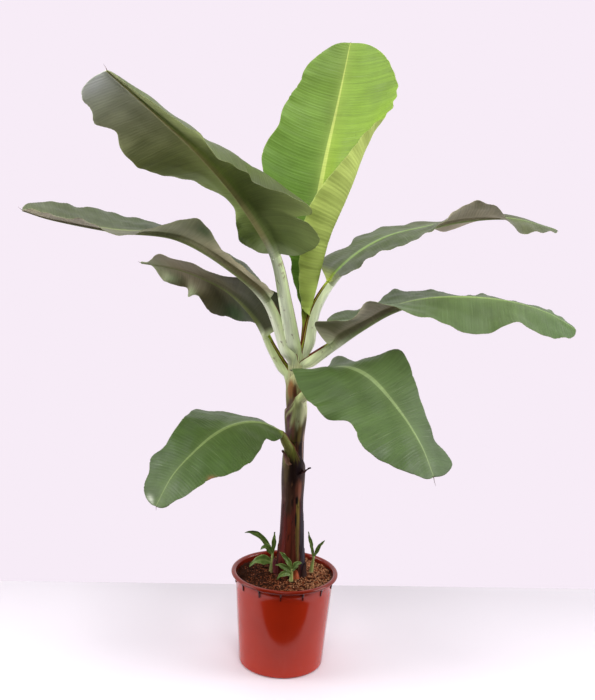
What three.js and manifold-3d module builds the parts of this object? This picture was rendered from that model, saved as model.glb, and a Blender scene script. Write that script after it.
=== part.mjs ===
// A potted banana plant: eight leaves on a pseudostem, three suckers, and a plastic pot of compost.
// Millimetres, +Z up, origin at the centre of the pot's flat underside. The front is towards -Y.
import * as THREE from 'three';
import { mergeVertices } from 'three/addons/utils/BufferGeometryUtils.js';
import Module from 'manifold-3d';

const wasm = await Module();
wasm.setup();

// ---- driving dimensions ----
const CLEARANCE = 0.3;

const POT_HEIGHT = 276;
const POT_RIM_RADIUS = 150;
const POT_FOOT_RADIUS = 119;
const POT_WALL = 3;
const POT_FLOOR = 5;
const POT_CORNER = 10;
const LIP_HEIGHT = 11;
const LIP_OUT = 11;
const LIP_ROUND = 3;
const POT_SIDES = 48;

const SOIL_TOP = 263;
const SOIL_HUMP = 5;
// The compost meets the faceted wall, so it stands a little further off than other pieces.
const SOIL_CLEARANCE = 0.5;

const STEM_FOOT_Z = SOIL_TOP + SOIL_HUMP + CLEARANCE;
const STEM_TOP_Z = 930;
const STEM_SIDES = 20;
// The pseudostem leans and is a little crooked: x of its axis at evenly spaced heights.
const STEM_AXIS = [17, 12, 10, 8];
// Radius of the pseudostem at evenly spaced heights, from the flared foot to the crown.
const STEM_RADII = [41, 36.5, 34, 32, 30, 28.5, 28, 27, 20];

const BLADE_STEPS = 16;
const BLADE_THICKNESS = 8;
const BLADE_END = 0.997;
const MARGIN_LEAST = 3;
// The stalk's axis lies this share of its radius under the rib line, and the keel of the blade
// starts as deep as the stalk and ends at the tip depth.
const STALK_SINK = 0.75;
const KEEL_SHARE = 1.5;
const KEEL_TIP = 2;
const PETIOLE_SIDES = 8;
const PETIOLE_STEPS = 8;

// Each leaf grows from foot towards heading (degrees from +X, anticlockwise seen from above).
// line: reach and rise of the rib at evenly spaced stages; stalk: share of the line with no blade;
// girth: petiole radius at the stem and at the blade. A half of the blade has its full width, and
// fullness, lift and curl (degrees) at evenly spaced stages from the blade's base to its tip;
// waves: height and count of the margin's waves, and the share of a wave at which they start.
const LEAVES = [
  {
    name: 'top_left', foot: [6, -22, 925], heading: -132, stalk: 0.28, girth: [21, 13],
    line: [[0, 0], [45, 135], [100, 270], [225, 410], [370, 530], [520, 630], [670, 725]],
    base: 0.1, tip: 0.8, sweep: [-0.6, -0.2, -0.1, 0, 0],
    left: {
      width: 170, waves: [6, 5, 0.5],
      fullness: [0.6, 0.6, 0.85, 0.85, 1.1, 1.05, 1, 1, 1, 1, 1, 1, 1, 1, 1, 1, 1],
      lift: [10, 20, 42, 58, 38, 12, 0, -3, 0],
      curl: [0, -15, -55, -115, -95, -55, -30, -26, -40],
    },
    right: {
      width: 200, waves: [7, 4, 0.3],
      fullness: [
        0.9, 0.85, 0.6, 0.42, 0.42, 0.75, 0.85, 0.9, 0.88, 0.85, 0.8, 0.78, 0.65, 0.76, 0.66, 0.78,
        0.9,
      ],
      lift: [15, 0, 5, -20, -28, -26, -26],
    },
  },
  {
    name: 'left_high', foot: [0, -25, 905], heading: -163, stalk: 0.2, girth: [21, 13],
    line: [[0, 0], [75, 155], [185, 250], [330, 325], [490, 340], [640, 365], [720, 388]],
    base: 0.15, tip: 0.55, sweep: [0, 0.05, 0.1],
    left: {
      width: 145, waves: [5, 5, 0.2],
      fullness: [1, 0.9, 0.7, 0.6, 0.55, 0.6, 0.8, 1, 1, 1, 1, 1, 1, 1, 1, 1, 1],
      lift: [10, 5, 12, 26, 20, 3, 9, 14, 14],
    },
    right: {
      width: 150, waves: [4, 3.5, 0.5],
      fullness: [1, 1, 1, 1, 1, 1, 1, 0.9, 0.75, 0.9, 1.1, 1.1, 1, 1.05, 1.1, 1.1, 1],
      lift: [15, 8, 0, 0, 2, 9, 11, 15, 15],
    },
  },
  {
    name: 'right_high', foot: [18, 0, 915], heading: 15, stalk: 0.22, girth: [19, 12],
    line: [[0, 0], [25, 125], [105, 237], [210, 308], [330, 340], [450, 362], [580, 365], [715, 335]],
    base: 0.12, tip: 0.55, sweep: [-0.1, -0.1, -0.2, 0],
    left: {
      width: 145, waves: [6, 6, 0],
      fullness: [1, 1, 1.15, 0.7, 1.1, 1.15, 1.15, 1.1, 1.1, 1, 1, 1, 1, 1, 1, 1, 1],
      lift: [8, -1, -3, -6, -6, -20, -13, -1, 1],
    },
    right: {
      width: 145, waves: [5, 4, 0.5],
      fullness: [1, 0.9, 0.75, 0.75, 0.85, 0.92, 1, 1, 1, 0.85, 0.9, 0.95, 1, 0.85, 0.8, 0.9, 1],
      lift: [20, 10, 2, 0, 0, 1, 2, 6, 16, 28, 30, 22, 2, -14, -14, -10, -5],
    },
  },
  {
    name: 'right_low', foot: [14, -10, 885], heading: -4, stalk: 0.12, girth: [19, 14],
    line: [
      [0, 0], [75, 55], [150, 112], [235, 165], [330, 197], [440, 208], [545, 202], [645, 178],
      [725, 137],
    ],
    base: 0.1, tip: 0.55, sweep: [-0.2, 0, 0.2],
    left: {
      width: 145, waves: [7, 5, 0],
      fullness: [1, 1.1, 1, 0.85, 0.8, 1.2, 1.1, 1, 1, 1, 1, 1, 1, 1, 1, 1, 1],
      lift: [20, 16, 12, 6, 3, 4, 0, -6, -8, -9, -10, -10, -8, -8, -6, 0, 0],
    },
    right: {
      width: 155, waves: [6, 4, 0.5],
      fullness: [1, 1, 1, 1, 1, 0.85, 1.05, 0.96, 0.94, 0.93, 0.93, 0.94, 0.84, 1, 1.12, 1.15, 1.1],
      lift: [40, 38, 26, 16, 24, 12, -3, -12, -20, -27, -30, -22, -14, -16, -18, -18, -18],
    },
  },
  {
    name: 'top', foot: [22, 6, 905], heading: 60, stalk: 0.11, girth: [17, 13],
    line: [[0, 0], [8, 165], [22, 330], [62, 500], [120, 665], [172, 825]],
    base: 0.4, tip: 0.65, sweep: [0, 0.2, 0.1],
    left: {
      width: 160, waves: [5, 5, 0],
      fullness: [
        0.4, 0.42, 0.46, 0.52, 0.62, 0.75, 0.9, 1, 1.07, 1.02, 0.9, 0.9, 0.86, 0.8, 0.85, 0.8, 0.8,
      ],
      lift: [-30, -20, 10, 20, 20],
      curl: [120, 120, 30, 0, 0],
    },
    right: {
      width: 230, waves: [5, 3, 0.5],
      fullness: [0.7, 0.8, 1, 0.9, 0.9],
      lift: [-30, -25, -20, 0, 0],
      curl: [270, 220, 130, 30, 10],
    },
  },
  {
    name: 'left_low', foot: [-10, 5, 850], heading: 160, stalk: 0.2, girth: [17, 11],
    line: [[0, 0], [50, 65], [100, 140], [180, 205], [270, 237], [355, 252], [460, 254]],
    base: 0.15, tip: 0.55, sweep: [-0.1, 0, 0.1],
    left: {
      width: 120, waves: [5, 4, 0],
      fullness: [1, 1.05, 1.05, 1, 1, 1, 1, 1, 1, 1, 1, 1, 1.05, 0.9, 0.6, 0.4, 0.3],
      lift: [75, 72, 52, 34, 27, 26, 28, 24, 15],
    },
    right: {
      width: 150, waves: [6, 4, 0.5],
      fullness: [
        0.5, 0.5, 0.45, 0.65, 0.8, 0.8, 0.78, 0.65, 0.6, 0.6, 0.55, 0.45, 0.45, 0.5, 0.5, 0.4, 0.3,
      ],
      lift: [-20, -40, -50, -40, -40, -20, -10],
      curl: [0, 0, 0, 0, 0, 0, -20, -80, -150, -160, -110, -60, -90, -120, -90, -40, 0],
    },
  },
  {
    name: 'front_right', foot: [14, -25, 790], heading: -38, stalk: 0.14, girth: [17, 12],
    line: [[0, 0], [60, 65], [135, 112], [227, 104], [326, 37], [400, -40], [445, -115]],
    base: 0.1, tip: 0.6, sweep: [-0.2, -0.1, 0.3],
    left: {
      width: 140, waves: [4, 3, 0],
      fullness: [
        1, 1, 0.85, 0.6, 0.55, 0.75, 1.05, 1, 0.9, 0.83, 0.78, 0.72, 0.66, 0.78, 1.1, 1.4, 1.3,
      ],
      lift: [25, 20, 6, 4, 8, 14, 16, 12, 10, 6, 0, -5, -8, -10, -8, -4, 0],
    },
    right: {
      width: 170, waves: [6, 4, 0.5],
      fullness: [
        0.6, 0.65, 0.75, 0.95, 1.05, 1.05, 1.05, 1.1, 1.08, 0.84, 0.9, 1.04, 1, 0.87, 0.78, 0.6, 0.5,
      ],
      lift: [30, 8, -20, -22, -15, -10, -10],
    },
  },
  {
    name: 'front_left', foot: [0, -28, 650], heading: -140, stalk: 0.12, girth: [13, 9],
    line: [[0, 0], [35, 50], [110, 88], [190, 95], [261, 76], [330, 35], [390, -15], [436, -86]],
    base: 0.25, tip: 0.55, sweep: [0, 0.1, 0.2],
    left: {
      width: 135, waves: [4, 4, 0],
      fullness: [
        0.8, 0.76, 0.65, 0.5, 0.62, 0.8, 0.91, 0.97, 1, 1.04, 1.02, 0.85, 0.84, 0.86, 0.76, 0.66, 0.6,
      ],
      lift: [-20, -30, -25, -20, -8, -5, 0],
    },
    right: {
      width: 125, waves: [4, 3, 0.5],
      fullness: [1, 1.3, 1.1, 1, 1.35, 1.4, 1.25, 1.03, 0.88, 0.78, 0.74, 0.8, 1.02, 1, 1.1, 1.27, 1.2],
      lift: [6, -4, -1, 16, 10, -5, -10],
    },
  },
];

// Suckers beside the stem: foot on the compost, a short stem and a few small blades.
// A blade leaves the stem at share `from` and ends at `to`, by way of a rise of `arch`. The facing
// turns the blades from level (0) to straight at the front (1).
const SUCKER_FACING = 0.6;
const SUCKER_LEAF_THICKNESS = 2;
const SUCKER_LEAF_STEPS = 8;
const SUCKERS = [
  { name: 'sucker_left', foot: [-38, 4], stem: [-36, 4, 324], radius: 6,
    blades: [
      { from: 0.9, to: [-117, 4, 380], arch: 26, width: 9 },
      { from: 0.5, to: [-100, -8, 283], arch: 16, width: 15 },
      { from: 0.9, to: [-70, -10, 338], arch: 14, width: 11 },
      { from: 0.9, to: [-32, 10, 385], arch: 4, width: 7 },
    ] },
  { name: 'sucker_front', foot: [19, -58], stem: [20, -56, 305], radius: 6,
    blades: [
      { from: 0.9, to: [-16, -60, 354], arch: 10, width: 8 },
      { from: 0.8, to: [47, -62, 326], arch: 8, width: 9 },
      { from: 0.7, to: [-27, -64, 316], arch: 8, width: 8 },
      { from: 0.5, to: [-20, -80, 280], arch: 14, width: 9 },
    ] },
  { name: 'sucker_right', foot: [74, 11], stem: [80, 11, 318], radius: 6,
    blades: [
      { from: 0.9, to: [61, 8, 392], arch: 4, width: 6 },
      { from: 0.9, to: [109, 11, 366], arch: 6, width: 6 },
    ] },
];

// Dry ends of old leaf sheaths that stand off the pseudostem: root, tip, width and thickness.
const STUBS = [
  { name: 'dry_sheath_right', root: [30, -22, 566], tip: [58, -34, 594], width: 20, thickness: 5 },
  { name: 'dry_sheath_left', root: [-8, -24, 596], tip: [-22, -34, 640], width: 26, thickness: 4 },
];

const COLOURS = {
  pot: 0xa1443a, soil: 0x4a2c1c, stem: 0x4c2a20, petiole: 0xb7c49a, blade: 0x6c8250,
  sucker: 0x6f8048, stub: 0x5a3324,
};
const ROUGHNESS = { pot: 0.38, soil: 0.95, stem: 0.6, petiole: 0.5, blade: 0.55, sucker: 0.55, stub: 0.85 };

// ---- solids ----
const wrap = (geometry) => {
  geometry.deleteAttribute('normal');
  geometry.deleteAttribute('uv');
  const merged = mergeVertices(geometry, 1e-4);
  return new wasm.Manifold(new wasm.Mesh({
    numProp: 3,
    vertProperties: new Float32Array(merged.attributes.position.array),
    triVerts: new Uint32Array(merged.index.array),
  }));
};

// Moves every point of a geometry by place(x, y, z), which returns a Vector3, and makes it a solid.
const mapped = (geometry, place) => {
  const position = geometry.attributes.position;
  for (let i = 0; i < position.count; i += 1) {
    const p = place(position.getX(i), position.getY(i), position.getZ(i));
    position.setXYZ(i, p.x, p.y, p.z);
  }
  return wrap(geometry);
};

// The largest of the pieces that a cut leaves.
const largest = (solid) => solid.decompose().reduce((a, b) => (b.volume() > a.volume() ? b : a));

const group = new THREE.Group();
// Every solid that stands in the crown, with a copy that is larger by the clearance.
const taken = [];

const meet = (a, b) => {
  const p = a.boundingBox();
  const q = b.boundingBox();
  return [0, 1, 2].every((k) => p.min[k] < q.max[k] && q.min[k] < p.max[k]);
};

// Makes a solid clear of all that is there already, and notes its larger copy.
const settle = (make) => {
  let solid = make(0);
  for (const other of taken) {
    if (meet(solid, other)) {
      solid = solid.subtract(other);
    }
  }
  taken.push(make(CLEARANCE));
  return largest(solid);
};

const show = (name, solid, look) => {
  const { vertProperties, triVerts } = solid.getMesh();
  const geometry = new THREE.BufferGeometry();
  geometry.setAttribute('position', new THREE.BufferAttribute(new Float32Array(vertProperties), 3));
  geometry.setIndex(new THREE.BufferAttribute(new Uint32Array(triVerts), 1));
  geometry.computeVertexNormals();
  const material = new THREE.MeshStandardMaterial({
    color: COLOURS[look],
    roughness: ROUGHNESS[look],
    metalness: 0,
  });
  const mesh = new THREE.Mesh(geometry, material);
  mesh.name = name;
  group.add(mesh);
};

// ---- curves ----
// Value at t (0 to 1) of evenly spaced keys joined by a smooth curve.
const keyed = (keys, t) => {
  const last = keys.length - 1;
  if (last === 0) {
    return keys[0];
  }
  const x = Math.min(Math.max(t, 0), 1) * last;
  const i = Math.min(Math.floor(x), last - 1);
  const f = x - i;
  const b = keys[i];
  const c = keys[i + 1];
  const a = i > 0 ? keys[i - 1] : 2 * b - c;
  const d = i + 2 <= last ? keys[i + 2] : 2 * c - b;
  return b + 0.5 * f * (c - a + f * (2 * a - 5 * b + 4 * c - d + f * (3 * (b - c) + d - a)));
};

const radians = THREE.MathUtils.degToRad;
// The origin moved by each [direction, distance].
const along = (origin, ...moves) => moves.reduce(
  (sum, [direction, distance]) => sum.addScaledVector(direction, distance),
  origin.clone(),
);

// The leaf's rib: its length, and frame(t), which gives its point at share t of that length, with
// the directions along it, to its left and out of its upper side.
const ribOf = (leaf) => {
  const turn = radians(leaf.heading);
  const ahead = new THREE.Vector3(Math.cos(turn), Math.sin(turn), 0);
  const left = new THREE.Vector3(-Math.sin(turn), Math.cos(turn), 0);
  const reaches = leaf.line.map((stage) => stage[0]);
  const rises = leaf.line.map((stage) => stage[1]);
  const fine = 200;
  const points = [];
  for (let i = 0; i <= fine; i += 1) {
    const point = new THREE.Vector3(...leaf.foot).addScaledVector(ahead, keyed(reaches, i / fine));
    point.z += keyed(rises, i / fine);
    points.push(point);
  }
  const runs = [0];
  for (let i = 1; i <= fine; i += 1) {
    runs.push(runs[i - 1] + points[i].distanceTo(points[i - 1]));
  }
  const pointAt = (t) => {
    const want = Math.min(Math.max(t, 0), 1) * runs[fine];
    let i = 1;
    while (i < fine && runs[i] < want) {
      i += 1;
    }
    return points[i - 1].clone().lerp(points[i], (want - runs[i - 1]) / (runs[i] - runs[i - 1]));
  };
  const step = 0.004;
  const frame = (t) => {
    const tangent = pointAt(Math.min(t + step, 1)).sub(pointAt(Math.max(t - step, 0))).normalize();
    const up = tangent.clone().cross(left).normalize();
    return { point: pointAt(t), tangent, up, side: up.clone().cross(tangent) };
  };
  return { length: runs[fine], frame };
};

// ---- leaves ----
// Share of the full half-width at t: a rounded base, parallel sides and an elliptical tip.
const widthShare = (t, base, tip) => {
  const root = Math.sin(Math.PI / 2 * Math.min(Math.max(t / base, 0), 1)) ** 0.7;
  const past = Math.min(Math.max((t - tip) / (1 - tip), 0), 1);
  return root * Math.sqrt(1 - past * past);
};

// Where the sheet's columns stand across a half, from the rib (0) to the margin (1).
const FLAT = [0];
const FLAT_COLUMNS = [0, 0.08, 0.4, 0.7, 1];
const CURLED_COLUMNS = [0, 0.08, 0.2, 0.32, 0.44, 0.56, 0.68, 0.8, 0.9, 1];

// The blade as one sheet bent from a flat box, whose x runs across it from the right margin to
// the left one, y through its thickness and z from base to tip. Its underside has the rib's keel.
const blade = (leaf, grow) => {
  const curls = [leaf.left, leaf.right].flatMap((half) => half.curl ?? FLAT);
  const columns = Math.max(...curls.map(Math.abs)) > 90 ? CURLED_COLUMNS : FLAT_COLUMNS;
  const last = columns.length - 1;
  const { length, frame } = ribOf(leaf);
  const box = new THREE.BoxGeometry(2 * last, 1, 1, 2 * last, 1, BLADE_STEPS);
  box.translate(0, 0, 0.5);
  const from = leaf.stalk + CLEARANCE / length;
  return mapped(box, (x, y, t) => {
    const hand = x < 0 ? -1 : 1;
    const half = hand > 0 ? leaf.left : leaf.right;
    const v = columns[Math.round(Math.abs(x))];
    const { point, tangent, up, side } = frame(from + (BLADE_END - from) * t);
    const share = widthShare(t, leaf.base, leaf.tip) * keyed(half.fullness ?? [1], t);
    const width = Math.max(half.width * share, MARGIN_LEAST);
    const lift = radians(keyed(half.lift, t));
    const bend = radians(keyed(half.curl ?? FLAT, t));
    const curl = Math.abs(bend) < 1e-3 ? 1e-3 : bend;
    const angle = lift + curl * v;
    const [height, count, start] = half.waves;
    const wave = height * Math.sin(2 * Math.PI * (count * t + start)) * Math.sqrt(Math.sin(Math.PI * t));
    const keel = v === 0 && y < 0 ? THREE.MathUtils.lerp(leaf.girth[1] * KEEL_SHARE, KEEL_TIP, t) : 0;
    const off = wave * v ** 1.6 + Math.sign(y) * (BLADE_THICKNESS / 2 + grow + keel);
    const tilt = v === 0 ? 0 : angle;
    const grown = v === 1 ? grow : 0;
    const out = width * (Math.sin(angle) - Math.sin(lift)) / curl - off * Math.sin(tilt)
      + grown * Math.cos(angle);
    const rise = width * (Math.cos(lift) - Math.cos(angle)) / curl + off * Math.cos(tilt)
      + grown * Math.sin(angle);
    const forward = keyed(leaf.sweep, t) * width * v * v + (t - 0.5) * 2 * grow;
    return along(point, [side, hand * out], [up, rise], [tangent, forward]);
  });
};

// The leaf's stalk: a round tapering limb, bent from a straight cylinder of unit size, that ends
// just short of the blade.
const petiole = (leaf, grow) => {
  const { length, frame } = ribOf(leaf);
  const end = leaf.stalk - CLEARANCE / length;
  const rod = new THREE.CylinderGeometry(1, 1, 1, PETIOLE_SIDES, PETIOLE_STEPS);
  rod.translate(0, 0.5, 0);
  return mapped(rod, (x, y, z) => {
    const { point, tangent, up, side } = frame(end * y);
    const radius = THREE.MathUtils.lerp(leaf.girth[0], leaf.girth[1], y) + grow;
    const down = (z - STALK_SINK) * radius;
    return along(point, [side, -x * radius], [up, down], [tangent, (y - 0.5) * 2 * grow]);
  });
};

// ---- pot, compost and pseudostem ----
const turned = (outline, sides) => {
  const lathe = new THREE.LatheGeometry(outline, sides);
  lathe.rotateX(Math.PI / 2);
  return wrap(lathe);
};

const wallRadius = (z) => THREE.MathUtils.lerp(POT_FOOT_RADIUS, POT_RIM_RADIUS - LIP_OUT, z / POT_HEIGHT);

const pot = () => {
  const points = [[0, 0]];
  for (let degrees = -90; degrees <= 0; degrees += 30) {
    const angle = radians(degrees);
    points.push([
      wallRadius(0) + POT_CORNER * (Math.cos(angle) - 1),
      POT_CORNER * (Math.sin(angle) + 1),
    ]);
  }
  const lipFoot = POT_HEIGHT - LIP_HEIGHT;
  points.push([wallRadius(lipFoot), lipFoot]);
  points.push([POT_RIM_RADIUS, lipFoot + LIP_ROUND / 3]);
  points.push([POT_RIM_RADIUS, POT_HEIGHT - LIP_ROUND]);
  points.push([POT_RIM_RADIUS - LIP_ROUND, POT_HEIGHT]);
  points.push([wallRadius(POT_HEIGHT) - POT_WALL, POT_HEIGHT]);
  points.push([wallRadius(POT_FLOOR) - POT_WALL, POT_FLOOR]);
  points.push([0, POT_FLOOR]);
  return turned(points.map(([r, z]) => new THREE.Vector2(r, z)), POT_SIDES);
};

const soil = () => {
  const gap = POT_WALL + SOIL_CLEARANCE;
  const foot = POT_FLOOR + CLEARANCE;
  const points = [
    [0, foot],
    [wallRadius(foot) - gap, foot],
    [wallRadius(SOIL_TOP) - gap, SOIL_TOP],
    [wallRadius(SOIL_TOP) * 0.5, SOIL_TOP + SOIL_HUMP],
    [0, SOIL_TOP + SOIL_HUMP],
  ];
  return turned(points.map(([r, z]) => new THREE.Vector2(r, z)), POT_SIDES);
};

const stem = (grow) => {
  const rod = new THREE.CylinderGeometry(1, 1, 1, STEM_SIDES, STEM_RADII.length * 2 - 2);
  rod.translate(0, 0.5, 0);
  return mapped(rod, (x, y, z) => {
    const radius = keyed(STEM_RADII, y) + grow;
    const height = THREE.MathUtils.lerp(STEM_FOOT_Z, STEM_TOP_Z, y) + (y - 0.5) * 2 * grow;
    return new THREE.Vector3(keyed(STEM_AXIS, y) + radius * x, -radius * z, height);
  });
};

// ---- suckers and dry sheath ends ----
const suckerStem = (plant, grow) => {
  const foot = new THREE.Vector3(...plant.foot, SOIL_TOP + SOIL_HUMP + CLEARANCE);
  const top = new THREE.Vector3(...plant.stem);
  const rod = new THREE.CylinderGeometry(0.6, 1, 1, 8, 1);
  rod.translate(0, 0.5, 0);
  return mapped(rod, (x, y, z) => {
    const r = plant.radius + grow;
    return foot.clone().lerp(top, y).add(new THREE.Vector3(x * r, -z * r, 0));
  });
};

const suckerBlade = (plant, spec, grow) => {
  const foot = new THREE.Vector3(...plant.foot, SOIL_TOP + SOIL_HUMP);
  const start = foot.lerp(new THREE.Vector3(...plant.stem), spec.from);
  const end = new THREE.Vector3(...spec.to);
  const middle = start.clone().lerp(end, 0.5).add(new THREE.Vector3(0, 0, spec.arch));
  const curve = new THREE.CatmullRomCurve3([start, middle, end]);
  const box = new THREE.BoxGeometry(1, 1, 1, 2, 1, SUCKER_LEAF_STEPS);
  box.translate(0, 0, 0.5);
  return mapped(box, (x, y, t) => {
    const tangent = curve.getTangentAt(t);
    const level = new THREE.Vector3(-tangent.y, tangent.x, 0);
    const facing = new THREE.Vector3(-tangent.z, 0, tangent.x);
    const side = level.lerp(facing, SUCKER_FACING).normalize();
    const up = tangent.clone().cross(side).negate();
    const width = 2 * spec.width * Math.max(Math.sin(Math.PI * (0.12 + 0.82 * t)), 0.18) + 2 * grow;
    const thickness = SUCKER_LEAF_THICKNESS + 2 * grow;
    const fold = 0.5 * Math.abs(x) * width;
    const drop = -fold - y * thickness;
    return along(curve.getPointAt(t), [side, x * width], [up, drop], [tangent, (t - 0.5) * 2 * grow]);
  });
};

const sucker = (plant, grow) => plant.blades.reduce(
  (sum, spec) => sum.add(suckerBlade(plant, spec, grow)),
  suckerStem(plant, grow),
);

const stub = (spec, grow) => {
  const root = new THREE.Vector3(...spec.root);
  const tip = new THREE.Vector3(...spec.tip);
  const tangent = tip.clone().sub(root).normalize();
  const side = new THREE.Vector3(-tangent.y, tangent.x, 0).normalize();
  const up = tangent.clone().cross(side).negate();
  const box = new THREE.BoxGeometry(1, 1, 1, 1, 1, 3);
  box.translate(0, 0, 0.5);
  return mapped(box, (x, y, t) => {
    const width = spec.width * (1 - 0.7 * t * t) + 2 * grow;
    return along(root.clone().lerp(tip, t), [side, x * width], [up, -y * (spec.thickness + 2 * grow)]);
  });
};

// ---- assembly ----
show('pot', pot(), 'pot');
show('soil', soil(), 'soil');
show('pseudostem', settle(stem), 'stem');
for (const leaf of LEAVES) {
  show(`petiole_${leaf.name}`, settle((grow) => petiole(leaf, grow)), 'petiole');
}
for (const leaf of LEAVES) {
  show(`blade_${leaf.name}`, settle((grow) => blade(leaf, grow)), 'blade');
}
for (const plant of SUCKERS) {
  show(plant.name, settle((grow) => sucker(plant, grow)), 'sucker');
}
for (const spec of STUBS) {
  show(spec.name, settle((grow) => stub(spec, grow)), 'stub');
}

export default group;
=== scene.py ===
"""A potted banana plant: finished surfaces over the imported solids. Metres, +Z up, front towards -Y."""
import math

import bpy
import numpy as np
from mathutils import Matrix, Vector

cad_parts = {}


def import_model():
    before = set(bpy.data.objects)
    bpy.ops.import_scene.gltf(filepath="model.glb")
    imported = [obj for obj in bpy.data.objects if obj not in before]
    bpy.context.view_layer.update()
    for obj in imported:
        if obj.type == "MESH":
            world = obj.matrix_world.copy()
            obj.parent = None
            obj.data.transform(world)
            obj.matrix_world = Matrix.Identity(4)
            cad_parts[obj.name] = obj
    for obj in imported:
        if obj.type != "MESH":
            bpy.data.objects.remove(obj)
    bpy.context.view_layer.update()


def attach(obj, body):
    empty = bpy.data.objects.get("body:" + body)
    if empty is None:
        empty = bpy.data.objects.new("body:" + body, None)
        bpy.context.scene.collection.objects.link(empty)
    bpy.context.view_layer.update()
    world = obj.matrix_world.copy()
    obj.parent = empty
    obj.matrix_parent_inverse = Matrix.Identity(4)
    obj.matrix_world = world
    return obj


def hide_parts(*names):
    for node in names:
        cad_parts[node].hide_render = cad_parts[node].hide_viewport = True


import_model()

MM = 0.001
# Seeds of the random draws. A leaf's, a stub's or a sucker's number is added to its kind's seed.
LEAF_SEED = 100
STEM_SEED = 7
STUB_SEED = 40
FOOT_SEED = 60
SUCKER_SEED = 80
SOIL_SEED = 11
CHIP_SEED = 12

# ---- camera: the photograph's frame in pixels, its focal length in pixels and where it stood ----
PHOTO_WIDTH = 595
PHOTO_HEIGHT = 700
FOCUS = 1300
CAMERA_PLACE = (0, -3.411, 1.750)
CAMERA_YAW = 0.1
CAMERA_PITCH = 13.75
CAMERA_ROLL = 2.8
SENSOR = 36


def make_camera():
    yaw, pitch, roll = (math.radians(a) for a in (CAMERA_YAW, CAMERA_PITCH, CAMERA_ROLL))
    ahead = Vector((math.sin(yaw) * math.cos(pitch), math.cos(yaw) * math.cos(pitch), -math.sin(pitch)))
    level = Vector((math.cos(yaw), -math.sin(yaw), 0))
    over = level.cross(ahead)
    right = level * math.cos(roll) + over * math.sin(roll)
    up = over * math.cos(roll) - level * math.sin(roll)
    data = bpy.data.cameras.new("camera")
    data.sensor_width = SENSOR
    data.lens = FOCUS * SENSOR / max(PHOTO_WIDTH, PHOTO_HEIGHT)
    camera = bpy.data.objects.new("camera", data)
    turn = Matrix((right, up, -ahead)).transposed().to_4x4()
    camera.matrix_world = Matrix.Translation(CAMERA_PLACE) @ turn
    bpy.context.collection.objects.link(camera)
    bpy.context.scene.camera = camera


make_camera()

# ---- sizes in millimetres, as the solids have them ----
POT_HEIGHT = 276
POT_RIM_RADIUS = 150
POT_FOOT_RADIUS = 119
POT_CORNER = 10
LIP_HEIGHT = 11
LIP_OUT = 11
SOIL_TOP = 263
SOIL_HUMP = 5
STEM_FOOT_Z = 268.3
STEM_TOP_Z = 930
STEM_AXIS = [17, 12, 10, 8]
STEM_RADII = [41, 36.5, 34, 32, 30, 28.5, 28, 27, 20]
BLADE_END = 0.997
MARGIN_LEAST = 3

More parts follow.
